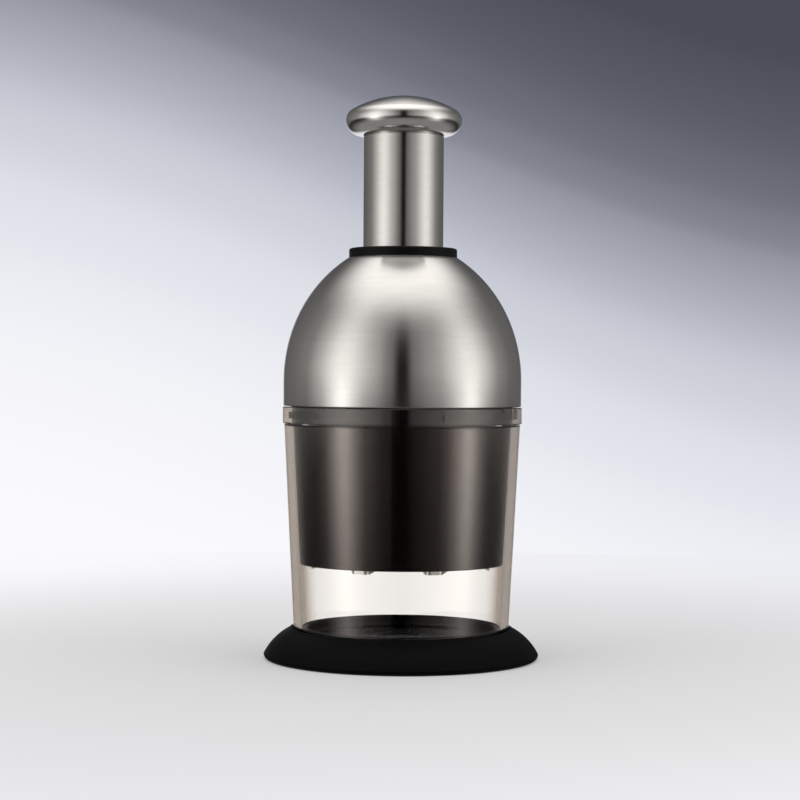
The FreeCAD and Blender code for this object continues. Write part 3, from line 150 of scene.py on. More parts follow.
# Handling marks: soft patches where fingers and washing have left a film, and sparse specks of dust.
web, given, end = effect_group("handling marks", {"Patch": 35.0, "Specks": 900.0}, ("Film", "Dust"))
place = web("ShaderNodeTexCoord").outputs["Object"]
patch = web("ShaderNodeTexNoise", {"Vector": place, "Scale": given["Patch"], "Detail": 5.0,
                                   "Roughness": 0.62, "Distortion": 0.8})
speck = web("ShaderNodeTexVoronoi", {"Vector": place, "Scale": given["Specks"], "Randomness": 1.0})
chance = web("ShaderNodeTexNoise", {"Vector": place, "Scale": 400.0, "Detail": 1.0})
near = web.span(speck.outputs["Distance"], 1.0, 0.0, 0.06, 0.16)
rare = web.span(chance.outputs[0], 0.0, 1.0, 0.6, 0.72)
web.feed(end, Film=web.span(patch.outputs[0], 0.0, 1.0, 0.38, 0.66),
         Dust=web.math("MULTIPLY", near, rare))
handling_marks = web.tree

web, shader = finish("matt black rubber", IOR=1.5, Specular_IOR_Level=0.05)
grain = web.effect(moulded_grain, Grain=5200.0, Flow=45.0)
marks = web.effect(handling_marks, Patch=28.0, Specks=700.0)
tone = web.blend(grain["Flow"], (0.0010, 0.0011, 0.0013), (0.0024, 0.0025, 0.0028))
tone = web.stain(tone, marks["Film"], 0.2, (0.007, 0.007, 0.0075))
tone = web.stain(tone, marks["Dust"], 0.25, (0.05, 0.048, 0.046))
web.feed(shader, Base_Color=tone, Roughness=web.span(marks["Film"], 0.46, 0.58),
         Normal=web.bump(grain["Skin"], 0.00006))
dress(web.material, "base_skirt")


# ---- Chopping tray
# The glossy black board inside the container's foot, moulded in one with its spigot and the low ring.
# The blade lands here, so fine scratches cross the board in every direction.

web, given, end = effect_group("fine scratches", {"Length": 90.0, "Fineness": 2600.0}, ("Scratches",))
place = web("ShaderNodeTexCoord").outputs["Object"]
layers = []
for turn in (0.35, 1.45, 2.6):
    turned_place = web("ShaderNodeVectorRotate", {"Vector": place, "Angle": turn},
                       rotation_type="Z_AXIS")
    parts = web("ShaderNodeSeparateXYZ", {0: turned_place.outputs[0]}).outputs
    line = web("ShaderNodeCombineXYZ", {0: web.math("MULTIPLY", parts[0], given["Length"]),
                                        1: web.math("MULTIPLY", parts[1], given["Fineness"]),
                                        2: web.math("MULTIPLY", parts[2], given["Length"])})
    noise = web("ShaderNodeTexNoise", {"Vector": line.outputs[0], "Scale": 1.0, "Detail": 1.0,
                                       "Distortion": 0.15})
    layers.append(web.span(noise.outputs[0], 0.0, 1.0, 0.66, 0.74))
web.feed(end, Scratches=web.math("MAXIMUM", web.math("MAXIMUM", layers[0], layers[1]), layers[2]))
fine_scratches = web.tree

# The scratches reach up to this height, in millimetres as the sizes of all pieces are: they cross the
# board and leave out the wall of the spigot.
BOARD_TOP = 9.2

web, shader = finish("glossy black plastic", IOR=1.53)
grain = web.effect(moulded_grain, Grain=1500.0, Flow=38.0)
marks = web.effect(handling_marks, Patch=50.0, Specks=1100.0)
scratches = web.effect(fine_scratches, Length=120.0, Fineness=2400.0)["Scratches"]
height = web("ShaderNodeSeparateXYZ", {0: web("ShaderNodeTexCoord").outputs["Object"]}).outputs[2]
scratches = web.math("MULTIPLY", scratches, web.math("LESS_THAN", height, BOARD_TOP * 0.001))
tone = web.blend(grain["Flow"], (0.0035, 0.0028, 0.0024), (0.006, 0.005, 0.0043))
tone = web.stain(tone, scratches, 0.2, (0.05, 0.044, 0.04))
rough = web.math("ADD", web.span(marks["Film"], 0.13, 0.21), web.math("MULTIPLY", scratches, 0.14))
web.feed(shader, Base_Color=tone, Roughness=rough,
         Normal=web.bump(web.math("SUBTRACT", grain["Flow"], scratches), 0.000015))
dress(web.material, "chopping_tray")


# ---- Clear container
# The chamber's wall: clear, faintly smoky brown plastic, thickest at its foot and rim, moulded with the
# bayonet channels in its rim. Where one looks along the wall its colour is painted darker: partly the
# deeper tint of the longer path through it, partly painted shade. Wiping has scratched it thinly.

web, shader = finish("smoky clear plastic", IOR=1.5, Transmission_Weight=1.0, Metallic=0.0,
                     Specular_Tint=(1.0, 0.93, 0.89, 1.0))
scratches = web.effect(fine_scratches, Length=60.0, Fineness=3200.0)["Scratches"]
marks = web.effect(handling_marks, Patch=30.0, Specks=800.0)
grain = web.effect(moulded_grain, Grain=900.0, Flow=22.0)
tone = web.blend(grain["Flow"], (0.995, 0.985, 0.972), (1.0, 0.992, 0.982))
# Painted shade: the colour turns deep brown towards the edges, where one looks along the wall.
edge_shade = web("ShaderNodeLayerWeight", {"Blend": 0.5}).outputs["Facing"]    # 1 along the wall
tone = web.blend(web.span(edge_shade, 0.0, 1.0, 0.44, 0.70), tone, (0.42, 0.33, 0.25))
rough = web.math("ADD", web.span(marks["Film"], 0.006, 0.014), web.math("MULTIPLY", scratches, 0.005))
web.feed(shader, Base_Color=tone, Roughness=rough,
         Normal=web.bump(grain["Flow"], 0.00003))
tint = web("ShaderNodeVolumeAbsorption", {"Color": (0.88, 0.60, 0.30, 1.0), "Density": 14.0})
web.feed(web.output, Volume=tint.outputs[0])
dress(web.material, "clear_container")


# ---- Head mouldings
# The bayonet ring, the inner housing, the mechanism plate, the ring under the nut and the filling of the
# knob are moulded in black plastic. The bayonet ring's lugs and ledge show through the container's rim.

web, shader = finish("black engineering plastic", IOR=1.5, Specular_IOR_Level=0.4)
grain = web.effect(moulded_grain, Grain=2600.0, Flow=70.0)
marks = web.effect(handling_marks, Patch=60.0, Specks=1000.0)
tone = web.blend(grain["Flow"], (0.0045, 0.0042, 0.0040), (0.008, 0.0075, 0.007))
tone = web.stain(tone, marks["Dust"], 0.3, (0.12, 0.115, 0.11))
web.feed(shader, Base_Color=tone, Roughness=web.span(grain["Skin"], 0.13, 0.2),
         Normal=web.bump(grain["Skin"], 0.00003))
dress(web.material, "bayonet_ring", "inner_housing", "mechanism_plate", "nut_retainer", "knob_insert")


# ---- Slippery inner parts
# Bush, ratchet ring, nut and plunger core are moulded in white acetal, which runs dry against steel.
# Grease has dulled it where it slides.

web, shader = finish("white acetal", IOR=1.48, Subsurface_Weight=0.08, Subsurface_Scale=0.002)
grain = web.effect(moulded_grain, Grain=3000.0, Flow=90.0)
marks = web.effect(handling_marks, Patch=120.0, Specks=1500.0)
tone = web.blend(grain["Flow"], (0.70, 0.69, 0.65), (0.78, 0.77, 0.73))
tone = web.stain(tone, marks["Film"], 0.3, (0.60, 0.57, 0.50))
web.feed(shader, Base_Color=tone, Roughness=web.span(marks["Film"], 0.42, 0.28),
         Normal=web.bump(grain["Skin"], 0.00003))
dress(web.material, "guide_bush", "ratchet_ring", "index_nut", "plunger_core")


# ---- End bumper
# A rubber ring on the drum's floor that the tube lands on at the end of the stroke. It is moulded in a
# greyer rubber than the skirt.

web, shader = finish("grey black rubber", IOR=1.5, Specular_IOR_Level=0.35)
grain = web.effect(moulded_grain, Grain=6000.0, Flow=150.0)
tone = web.blend(grain["Flow"], (0.025, 0.025, 0.026), (0.045, 0.045, 0.046))
web.feed(shader, Base_Color=tone, Roughness=web.span(grain["Skin"], 0.6, 0.75),
         Normal=web.bump(grain["Skin"], 0.00005))
dress(web.material, "end_bumper")


# ---- Steel dome
# The bell of the head, spun from 0.8 mm stainless sheet and brushed round its axis, so that its
# highlights stand upright. Its foot is flattened into a thin rounded edge over the container's rim.

web, given, end = effect_group("brushed round", {"Pitch": 9000.0, "Wander": 3.0}, ("Lines", "Bands"))
place = web("ShaderNodeTexCoord").outputs["Object"]
flat = web("ShaderNodeVectorMath", {0: place, 1: (1.0, 1.0, 0.0)}, operation="MULTIPLY")
around = web("ShaderNodeVectorMath", {0: flat.outputs[0]}, operation="NORMALIZE")
parts = web("ShaderNodeSeparateXYZ", {0: around.outputs[0]}).outputs
along = web("ShaderNodeAttribute", attribute_name="along").outputs["Fac"]
for label, pitch_share, detail in (("Lines", 1.0, 3.0), ("Bands", 0.06, 2.0)):
    lift = web.math("MULTIPLY", web.math("MULTIPLY", along, given["Pitch"]), pitch_share)
    line = web("ShaderNodeCombineXYZ", {0: web.math("MULTIPLY", parts[0], given["Wander"]),
                                        1: web.math("MULTIPLY", parts[1], given["Wander"]), 2: lift})
    noise = web("ShaderNodeTexNoise", {"Vector": line.outputs[0], "Scale": 1.0, "Detail": detail,
                                       "Roughness": 0.7})
    web.feed(end, **{label: noise.outputs[0]})
brushed_round = web.tree


def brushed_steel(name, dark, light, rough, anisotropy, line_depth, pitch):
    """Steel brushed round its axis: the lines part the two tones, roughen the surface and raise it.
    line_depth is in metres, and pitch is the number of lines in a metre."""
    web, shader = finish(name, Metallic=1.0, Anisotropic=anisotropy, Anisotropic_Rotation=0.25)
    brush = web.effect(brushed_round, Pitch=pitch, Wander=2.2)
    marks = web.effect(handling_marks, Patch=24.0, Specks=1000.0)
    share = web.math("ADD", web.math("MULTIPLY", brush["Lines"], 0.6),
                     web.math("MULTIPLY", brush["Bands"], 0.4))
    tone = web.blend(web.span(share, 0.0, 1.0, 0.3, 0.7), dark, light)
    tone = web.stain(tone, marks["Film"], 0.12, tuple(0.85 * part for part in dark))
    polish = web.math("ADD", web.span(brush["Lines"], rough - 0.02, rough + 0.02, 0.3, 0.7),
                      web.math("MULTIPLY", marks["Film"], 0.03))
    tangent = web("ShaderNodeTangent", direction_type="UV_MAP", uv_map="around")
    web.feed(shader, Base_Color=tone, Roughness=polish, Normal=web.bump(brush["Lines"], line_depth),
             Tangent=tangent.outputs[0])
    return web.material


def arc_points(start, end, bend, steps):
    """Points of the short arc of radius bend from start to end, without its start. Its centre lies
    beside the middle of the chord, sqrt(bend^2 - half chord^2) away: on the left where bend is
    positive, else on the right."""
    start, end = np.array(start, float), np.array(end, float)
    half = (end - start) / 2
    length = np.hypot(*half)
    left = np.array([-half[1], half[0]]) / length
    aside = math.copysign(math.sqrt(max(bend * bend - length * length, 0.0)), bend)
    centre = start + half + left * aside
    first = math.atan2(*(start - centre)[::-1])
    sweep = 2 * math.asin(min(length / abs(bend), 1.0)) * math.copysign(1, bend)
    angles = first + sweep * np.arange(1, steps + 1) / steps
    return centre + abs(bend) * np.column_stack([np.cos(angles), np.sin(angles)])


ON_AXIS = 1e-6             # a point with a smaller radius lies on the axis
NEARLY_STRAIGHT = 0.94     # cosine of the turn up to which a corner is left as it is


def outline(corners, ease, steps=28):
    """The points of a closed outline in radius and height. A corner with a third number is reached by
    an arc of that radius, in so many steps. Every sharp corner P becomes a small curve,
    (1-t)^2 A + 2t(1-t) P + t^2 B, from A, at most ease before it, to B, at most ease after it."""
    points = [np.array([corners[0][:2]], float)]
    for before, corner in zip(corners, corners[1:]):
        if len(corner) == 3:
            points.append(arc_points(before[:2], corner[:2], corner[2], steps))
        else:
            points.append(np.array([corner], float))
    points = np.concatenate(points)
    eased = []
    for before, point, after in zip(np.roll(points, 1, 0), points, np.roll(points, -1, 0)):
        way_in, way_out = point - before, after - point
        length_in, length_out = np.hypot(*way_in), np.hypot(*way_out)
        way_in, way_out = way_in / length_in, way_out / length_out
        if point[0] < ON_AXIS or way_in @ way_out > NEARLY_STRAIGHT:
            eased.append(point[None])
            continue
        start = point - way_in * min(ease, length_in * 0.45)
        end = point + way_out * min(ease, length_out * 0.45)
        t = np.linspace(0, 1, 6)[:, None]
        eased.append((1 - t) ** 2 * start + 2 * t * (1 - t) * point + t ** 2 * end)
    return np.concatenate(eased)


def mesh_piece(name, vertices, faces, body, uvs=None):
    """An object from points in millimetres and rows of corner numbers, shaded smooth but for edges of
    more than 32 degrees."""
    mesh = bpy.data.meshes.new(name)
    mesh.from_pydata((np.asarray(vertices) * 0.001).tolist(), [], [list(face) for face in faces])
    if uvs is not None:
        layer = mesh.uv_layers.new(name="around")
        layer.data.foreach_set("uv", np.asarray(uvs, np.float32).ravel())
    mesh.shade_smooth()
    mesh.set_sharp_from_angle(angle=math.radians(32))
    piece = bpy.data.objects.new(name, mesh)
    bpy.context.scene.collection.objects.link(piece)
    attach(piece, body)
    return piece


def turned(name, points, body, slices=240):
    """A solid of revolution: outline point (r, z) at the angle a goes to (r cos a, r sin a, z). A point
    on the axis is kept once, and an outline that doesn't start there is closed to its own start. UV is
    (a / full turn, length along the outline in decimetres), and that length, in metres, is also the
    attribute along."""
    rings = points
    if points[0, 0] >= ON_AXIS:
        points = np.vstack([points, points[:1]])
    steps = np.hypot(*np.diff(points, axis=0).T)
    along = np.concatenate([[0], np.cumsum(steps)]) * 0.001
    angles = np.arange(slices) * math.tau / slices
    counts = np.where(rings[:, 0] < ON_AXIS, 1, slices)
    starts = np.concatenate([[0], np.cumsum(counts)])
    vertices = np.concatenate([
        np.array([[0, 0, z]]) if r < ON_AXIS else
        np.column_stack([r * np.cos(angles), r * np.sin(angles), np.full(slices, z)])
        for r, z in rings])
    index = np.arange(slices)
    faces, uvs = [], []
    for ring in range(len(points) - 1):
        # The corners of a face: its ring, its step round, and its end of this stretch of the outline.
        # Where one ring is a point on the axis, two corners are one.
        other = (ring + 1) % len(rings)
        corners = [(ring, 0, 0), (ring, 1, 0), (other, 1, 1), (other, 0, 1)]
        if counts[ring] == 1:
            corners.pop(1)
        elif counts[other] == 1:
            corners.pop(2)
        faces += np.column_stack([starts[at] + (index + step) % slices * (counts[at] > 1)
                                  for at, step, _ in corners]).tolist()
        uvs.append(np.stack([
            np.column_stack([(index + step) / slices, np.full(slices, along[ring + end] * 10)])
            for _, step, end in corners], 1).reshape(-1, 2))
    piece = mesh_piece(name, vertices, faces, body, np.concatenate(uvs))
    marks = piece.data.attributes.new("along", "FLOAT", "POINT")
    marks.data.foreach_set("value", np.repeat(along[:len(rings)], counts).astype(np.float32))
    return piece


# The wall rises straight from its foot, bends in by a circle of LOWER_BEND, and from JOIN_RISE higher up
# by one of UPPER_BEND to the collar's hole. The two circles meet without a kink.
DOME_RADIUS, DOME_WALL, HOLE_RADIUS, DOME_FOOT = 47.8, 0.8, 20.5, 101.35
LOWER_BEND, UPPER_BEND, STRAIGHT, JOIN_RISE = 62.0, 56.0, 10.2, 24.3
DOME_EDGE, DOME_STEPS = 0.3, 40
straight_top = DOME_FOOT + STRAIGHT
lower_centre = DOME_RADIUS - LOWER_BEND
join_reach = math.sqrt(LOWER_BEND ** 2 - JOIN_RISE ** 2)
upper_centre = (lower_centre + join_reach * (1 - UPPER_BEND / LOWER_BEND),
                straight_top + JOIN_RISE * (1 - UPPER_BEND / LOWER_BEND))


def dome_height(radius, inset=0.0):
    """The dome's height at a radius: its upper curve is a circle of UPPER_BEND, less the inset."""
    return upper_centre[1] + math.sqrt((UPPER_BEND - inset) ** 2 - (radius - upper_centre[0]) ** 2)


inner_share = (LOWER_BEND - DOME_WALL) / LOWER_BEND
dome_points = outline([
    (DOME_RADIUS - DOME_WALL, DOME_FOOT), (DOME_RADIUS, DOME_FOOT), (DOME_RADIUS, straight_top),
    (lower_centre + join_reach, straight_top + JOIN_RISE, LOWER_BEND),
    (HOLE_RADIUS, dome_height(HOLE_RADIUS), UPPER_BEND),
    (HOLE_RADIUS, dome_height(HOLE_RADIUS, DOME_WALL)),
    (lower_centre + join_reach * inner_share, straight_top + JOIN_RISE * inner_share,
     -(UPPER_BEND - DOME_WALL)),
    (DOME_RADIUS - DOME_WALL, straight_top, -(LOWER_BEND - DOME_WALL))], DOME_EDGE, DOME_STEPS)
steel_dome = turned("steel_dome", dome_points, "head", slices=320)
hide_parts("dome_shell")
dress(brushed_steel("brushed dome steel", (0.575, 0.56, 0.54), (0.635, 0.62, 0.60), rough=0.19,
                    anisotropy=0.85, line_depth=0.000002, pitch=9000.0), steel_dome)


# ---- Collar
# The black ring between dome and tube, clipped into the dome's hole. Fine spark-eroded grain on its
# face.

web, shader = finish("grained black plastic", IOR=1.5, Specular_IOR_Level=0.12)
grain = web.effect(moulded_grain, Grain=4200.0, Flow=90.0)
marks = web.effect(handling_marks, Patch=70.0, Specks=900.0)
tone = web.blend(grain["Flow"], (0.0012, 0.0012, 0.0012), (0.003, 0.003, 0.003))
tone = web.stain(tone, marks["Dust"], 0.3, (0.05, 0.048, 0.046))
web.feed(shader, Base_Color=tone, Roughness=web.span(marks["Film"], 0.42, 0.52),
         Normal=web.bump(grain["Skin"], 0.00004))
dress(web.material, "collar_ring")


# ---- Handle tube
# The stainless tube of the plunger, satin brushed round. It slides through the collar, so it is bare
# metal down to the stop ring inside.

TUBE_BORE, TUBE_RADIUS, TUBE_FOOT, TUBE_TOP, TUBE_EDGE = 15.3, 16.1, 132.55, 211.94, 0.12
tube_points = outline([(TUBE_BORE, TUBE_FOOT), (TUBE_RADIUS, TUBE_FOOT), (TUBE_RADIUS, TUBE_TOP),
                       (TUBE_BORE, TUBE_TOP)], TUBE_EDGE)
steel_tube = turned("steel_tube", tube_points, "plunger", slices=240)
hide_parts("handle_tube")
dress(brushed_steel("satin tube steel", (0.49, 0.477, 0.46), (0.55, 0.535, 0.515), rough=0.17,
                    anisotropy=0.6, line_depth=0.0000015, pitch=11000.0), steel_tube)


# ---- Knob
# The palm knob: a cap spun from 0.9 mm stainless sheet over its moulded filling, polished finer than
# the tube, with a broad crown, a tight shoulder and a round underside.

# Above its widest height, KNOB_WAIST, the knob rises by CROWN, and below it its round underside is UNDER
# high. The shoulder's arc runs into the crown's without a kink, which gives its radius.
KNOB_WAIST, KNOB_RADIUS, CROWN, CROWN_BEND, UNDER = 215.945, 23.3, 9.75, 41.5, 6.1
KNOB_BORE, SHEET, KNOB_EDGE, KNOB_STEPS = 16.2, 0.9, 0.12, 36
shoulder_bend = ((KNOB_RADIUS ** 2 + CROWN ** 2 - 2 * CROWN_BEND * CROWN)
                 / (2 * (KNOB_RADIUS - CROWN_BEND)))
crown_centre = KNOB_WAIST + CROWN - CROWN_BEND
crown_share = CROWN_BEND / (CROWN_BEND - shoulder_bend)


def knob_curve(inset):
    """Crown top, end of the crown's arc, waist, and inner end of the underside, drawn in by inset."""
    share = (CROWN_BEND - inset) / CROWN_BEND
    crown_end = ((KNOB_RADIUS - shoulder_bend) * crown_share * share,
                 crown_centre + (KNOB_WAIST - crown_centre) * crown_share * share)
    return (crown_centre + CROWN_BEND - inset, crown_end, KNOB_RADIUS - inset,
            (KNOB_RADIUS - UNDER, KNOB_WAIST - UNDER + inset))


out_top, out_crown, out_waist, out_under = knob_curve(0.0)
in_top, in_crown, in_waist, in_under = knob_curve(SHEET)
knob_points = outline([
    (0, in_top), (*in_crown, -(CROWN_BEND - SHEET)), (in_waist, KNOB_WAIST, -(shoulder_bend - SHEET)),
    (*in_under, -(UNDER - SHEET)), (KNOB_BORE, in_under[1]), (KNOB_BORE, out_under[1]), out_under,
    (out_waist, KNOB_WAIST, UNDER), (*out_crown, shoulder_bend), (0, out_top, CROWN_BEND)],
    KNOB_EDGE, KNOB_STEPS)
steel_knob = turned("steel_knob", knob_points, "plunger", slices=288)
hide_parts("knob_cap")
dress(brushed_steel("polished knob steel", (0.60, 0.585, 0.565), (0.70, 0.68, 0.66), rough=0.14,
                    anisotropy=0.3, line_depth=0.000001, pitch=9000.0), steel_knob)


# ---- Return spring
# One steel wire wound nine turns round the shaft, its end turns closed and ground flat. It rides on the
# plunger.

SPRING_RADIUS, WIRE, TURNS, END_PITCH = 11.2, 1.6, 9, 2.4
SPRING_LOW, SPRING_HIGH = 102.25, 156.3       # centre line of the wire at the spring's ends
GROUND, RINGS_PER_TURN, PRESS = 0.15, 64, 27.9
wound = np.linspace(0, TURNS, TURNS * RINGS_PER_TURN + 1)
pitch = (SPRING_HIGH - SPRING_LOW - 2 * END_PITCH) / (TURNS - 2)
height = (SPRING_LOW + END_PITCH * np.minimum(wound, 1) + pitch * np.clip(wound - 1, 0, TURNS - 2)
          + END_PITCH * np.maximum(wound - TURNS + 1, 0))


def wire_grid(wound, height, sides=16):
    """A round wire along a helix. The point at wire angle b lies WIRE/2 from the centre line, by cos b
    outwards and by sin b upwards, and is cut off level with the ground ends."""
    around = math.tau * wound[:, None]
    b = math.tau * np.arange(sides)[None] / sides
    radius = SPRING_RADIUS + WIRE / 2 * np.cos(b)
    z = height[:, None] + WIRE / 2 * np.sin(b)
    z = np.clip(z, SPRING_LOW - WIRE / 2 + GROUND, SPRING_HIGH + WIRE / 2 - GROUND)
    return np.stack(np.broadcast_arrays(radius * np.cos(around), radius * np.sin(around), z), -1)


def grid_faces(rows, columns):
    """Four-cornered faces of a tube of rows rings with columns points each, and its two end caps."""
    row = np.arange(rows - 1)[:, None] * columns
    column = np.arange(columns)[None]
    side = (column + 1) % columns
    quads = np.stack([row + column, row + columns + column, row + columns + side, row + side], -1)
    caps = [list(range(columns)), list(range(rows * columns - 1, (rows - 1) * columns - 1, -1))]
    return quads.reshape(-1, 4).tolist() + caps


wire = wire_grid(wound, height)
spring = mesh_piece("spring_wire", wire.reshape(-1, 3), grid_faces(*wire.shape[:2]), "plunger")
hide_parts("return_spring")
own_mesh(spring)


def drawn_steel(name, dark, light, rough):
    """Drawn or plated steel: soft patches of tone, fine grain in its roughness and surface."""
    web, shader = finish(name, Metallic=1.0)
    grain = web.effect(moulded_grain, Grain=5000.0, Flow=160.0)
    marks = web.effect(handling_marks, Patch=110.0, Specks=1600.0)
    tone = web.blend(grain["Flow"], dark, light)
    tone = web.stain(tone, marks["Film"], 0.25, tuple(0.7 * part for part in dark))
    web.feed(shader, Base_Color=tone, Roughness=web.span(grain["Skin"], rough - 0.06, rough + 0.08),
             Normal=web.bump(grain["Skin"], 0.00001))
    return web.material


spring_steel = drawn_steel("drawn spring steel", (0.36, 0.36, 0.37), (0.50, 0.50, 0.50), 0.3)
dress(spring_steel, spring, "nut_spring", "stop_ring")


# ---- Shaft, screws and rivets
# The fluted shaft is rolled steel, and the screws, rivets and swivel washer are zinc plated. Their
# finish is the same clear, slightly bluish plating.

dress(drawn_steel("plated steel", (0.48, 0.49, 0.51), (0.62, 0.62, 0.63), 0.28),
      "drive_shaft", "swivel_washer", "swivel_screw", "carrier_screw", "knob_screw", "core_rivets",
      "housing_screws")


# ---- Guard, wiper plate and blade carrier
# The dark cup round the blade, its slotted floor and the ribbed disc that grips the blade are moulded
# in brown-black plastic, polished outside by the tool. Faint flow lines ring the cup.

web, shader = finish("polished dark plastic", IOR=1.53, Specular_Tint=(1.0, 0.82, 0.74, 1.0))
grain = web.effect(moulded_grain, Grain=2200.0, Flow=30.0)
marks = web.effect(handling_marks, Patch=45.0, Specks=1200.0)
tone = web.blend(grain["Flow"], (0.0038, 0.0028, 0.0022), (0.0065, 0.005, 0.0042))
tone = web.stain(tone, marks["Dust"], 0.35, (0.12, 0.11, 0.10))
web.feed(shader, Base_Color=tone, Roughness=web.span(marks["Film"], 0.18, 0.24),
         Normal=web.bump(grain["Flow"], 0.00004))
dress(web.material, "blade_guard", "wiper_plate", "blade_carrier")


# ---- Blade
# One strip of 0.6 mm spring steel, folded to and fro across the chamber. Its lower edge is ground from
# both sides.

# The lower edge's height, the height of the ground band, and half the width of its soft border.
BLADE_LOW, GRIND, GRIND_FADE = 36.7, 2.6, 0.1

web, shader = finish("ground blade steel", Metallic=1.0)
place = web("ShaderNodeTexCoord").outputs["Object"]
parts = web("ShaderNodeSeparateXYZ", {0: place}).outputs
ground = web.span(parts[2], 1.0, 0.0, (BLADE_LOW + GRIND - GRIND_FADE) * 0.001,
                  (BLADE_LOW + GRIND + GRIND_FADE) * 0.001)
lines = web("ShaderNodeCombineXYZ", {0: web.math("MULTIPLY", parts[0], 2600.0),
                                     1: web.math("MULTIPLY", parts[1], 2600.0),
                                     2: web.math("MULTIPLY", parts[2], 120.0)})
stroke = web("ShaderNodeTexNoise", {"Vector": lines.outputs[0], "Scale": 1.0, "Detail": 2.0}).outputs[0]
grain = web.effect(moulded_grain, Grain=3500.0, Flow=80.0)
tone = web.blend(grain["Flow"], (0.60, 0.58, 0.55), (0.72, 0.70, 0.67))
tone = web.stain(tone, ground, 0.6, (0.78, 0.77, 0.75))
rough = web.math("ADD", web.span(stroke, 0.16, 0.24), web.math("MULTIPLY", ground, 0.1))
web.feed(shader, Base_Color=tone, Roughness=rough,
         Normal=web.bump(web.math("MULTIPLY", stroke, ground), 0.00001))
dress(web.material, "chopping_blade")


# ---- Floor
# A pale studio floor that seems to sweep up into the backdrop. Near the object it is a matt surface that
# takes the shadow; further out it glows in the backdrop's tone, with painted shade darker to the right
# as on the backdrop.

# In metres: the floor's radius, the radius at which its glow begins, and the reach of the painted shade
# on the darker side.
FLOOR_RADIUS, MATT_RADIUS, FALL_OFF = 0.5, 0.08, 0.18
FLOOR_CORNERS = 96
turn = np.linspace(0, math.tau, FLOOR_CORNERS, endpoint=False)
rim = np.column_stack([FLOOR_RADIUS * np.cos(turn), FLOOR_RADIUS * np.sin(turn),
                       np.zeros(FLOOR_CORNERS)])
mesh = bpy.data.meshes.new("studio_floor")
mesh.from_pydata(rim.tolist(), [], [list(range(FLOOR_CORNERS))])
floor = bpy.data.objects.new("studio_floor", mesh)
bpy.context.scene.collection.objects.link(floor)
material = bpy.data.materials.new("pale floor")
material.use_nodes = True
web = Web(material.node_tree)
place = web("ShaderNodeTexCoord").outputs["Object"]
grain = web.effect(moulded_grain, Grain=900.0, Flow=2.0)
tone = web.blend(grain["Flow"], (0.74, 0.74, 0.76), (0.77, 0.765, 0.78))
matt = web("ShaderNodeBsdfDiffuse", {"Color": tone})
path = web("ShaderNodeLightPath").outputs
distance = web("ShaderNodeVectorMath", {0: place}, operation="LENGTH").outputs["Value"]
parts = web("ShaderNodeSeparateXYZ", {0: place}).outputs
# Painted shade on the glow: it is darker where x times y is positive, to the right behind the object.
across = web.math("DIVIDE", web.math("MULTIPLY", parts[0], parts[1]),
                  web.math("MAXIMUM", distance, 0.01))
tone = web.blend(web.span(across, 0.0, 1.0, -FALL_OFF, FALL_OFF), (0.95, 0.95, 0.975),
                 (0.84, 0.845, 0.885))
# Through the clear wall the floor is plain white, and what a polished surface mirrors passes through it
# to the lamps, so that it lays no grey veil over the dark guard.
tone = web.blend(path["Is Transmission Ray"], tone, (1.0, 1.0, 1.0))
glow = web("ShaderNodeEmission", {"Color": tone, "Strength": 1.0})
far = web.span(distance, 0.0, 1.0, MATT_RADIUS, FLOOR_RADIUS - 0.01, "SMOOTHERSTEP")
share = web.math("MAXIMUM", web.math("MULTIPLY", web.span(far, 0.25, 1.0), path["Is Camera Ray"]),
                 path["Is Transmission Ray"])
mixed = web("ShaderNodeMixShader", {0: share, 1: matt.outputs[0], 2: glow.outputs[0]})
mirrored = web.math("GREATER_THAN", path["Glossy Depth"], 0.5)
mixed = web("ShaderNodeMixShader", {0: mirrored, 1: mixed.outputs[0],
                                    2: web("ShaderNodeBsdfTransparent").outputs[0]})
web("ShaderNodeOutputMaterial", {"Surface": mixed.outputs[0]})
mesh.materials.append(material)


# ---- Studio light
# Two tall soft boxes stand left and right in front of the object and a broad one hangs over it. They
# fade out softly at their edges, and the gap between them behind the camera stays dark.

def ramp(web, value, stops, interpolation="B_SPLINE"):
    """The colour or grey that stops, pairs of place and tone, give a value from 0 to 1."""
    node = web("ShaderNodeValToRGB", {0: value})
    elements = node.color_ramp.elements
    while len(elements) > 1:
        elements.remove(elements[-1])
    for number, (position, tone) in enumerate(stops):
        element = elements[0] if number == 0 else elements.new(position)
        element.position = position
        element.color = (*tone, 1.0) if isinstance(tone, tuple) else (tone, tone, tone, 1.0)
    node.color_ramp.interpolation = interpolation
    return node.outputs[0]


world = bpy.data.worlds.new("studio light")
bpy.context.scene.world = world
world.use_nodes = True
web = Web(world.node_tree)
parts = web("ShaderNodeSeparateXYZ", {0: web("ShaderNodeTexCoord").outputs["Generated"]}).outputs
# Azimuth runs from 0 to 1 round the object with the front at a half, elevation is in radians, and rise
# runs from 0 at the horizon to 1 overhead.
azimuth = web.math("ARCTAN2", parts[0], web.math("MULTIPLY", parts[1], -1.0))
azimuth = web.span(azimuth, 0.0, 1.0, -math.pi, math.pi)
elevation = web.math("ARCSINE", parts[2])
rise = web.span(elevation, 0.0, 1.0, 0.0, math.pi / 2)
LIGHT = 2.3         # strength of the brightest lamp, where a ramp holds 1


def around(web, lamps):
    """The light from each direction round the object: pairs of degrees and strength."""
    return ramp(web, azimuth, [(0.5 + angle / 360, tone / LIGHT) for angle, tone in lamps], "CARDINAL")


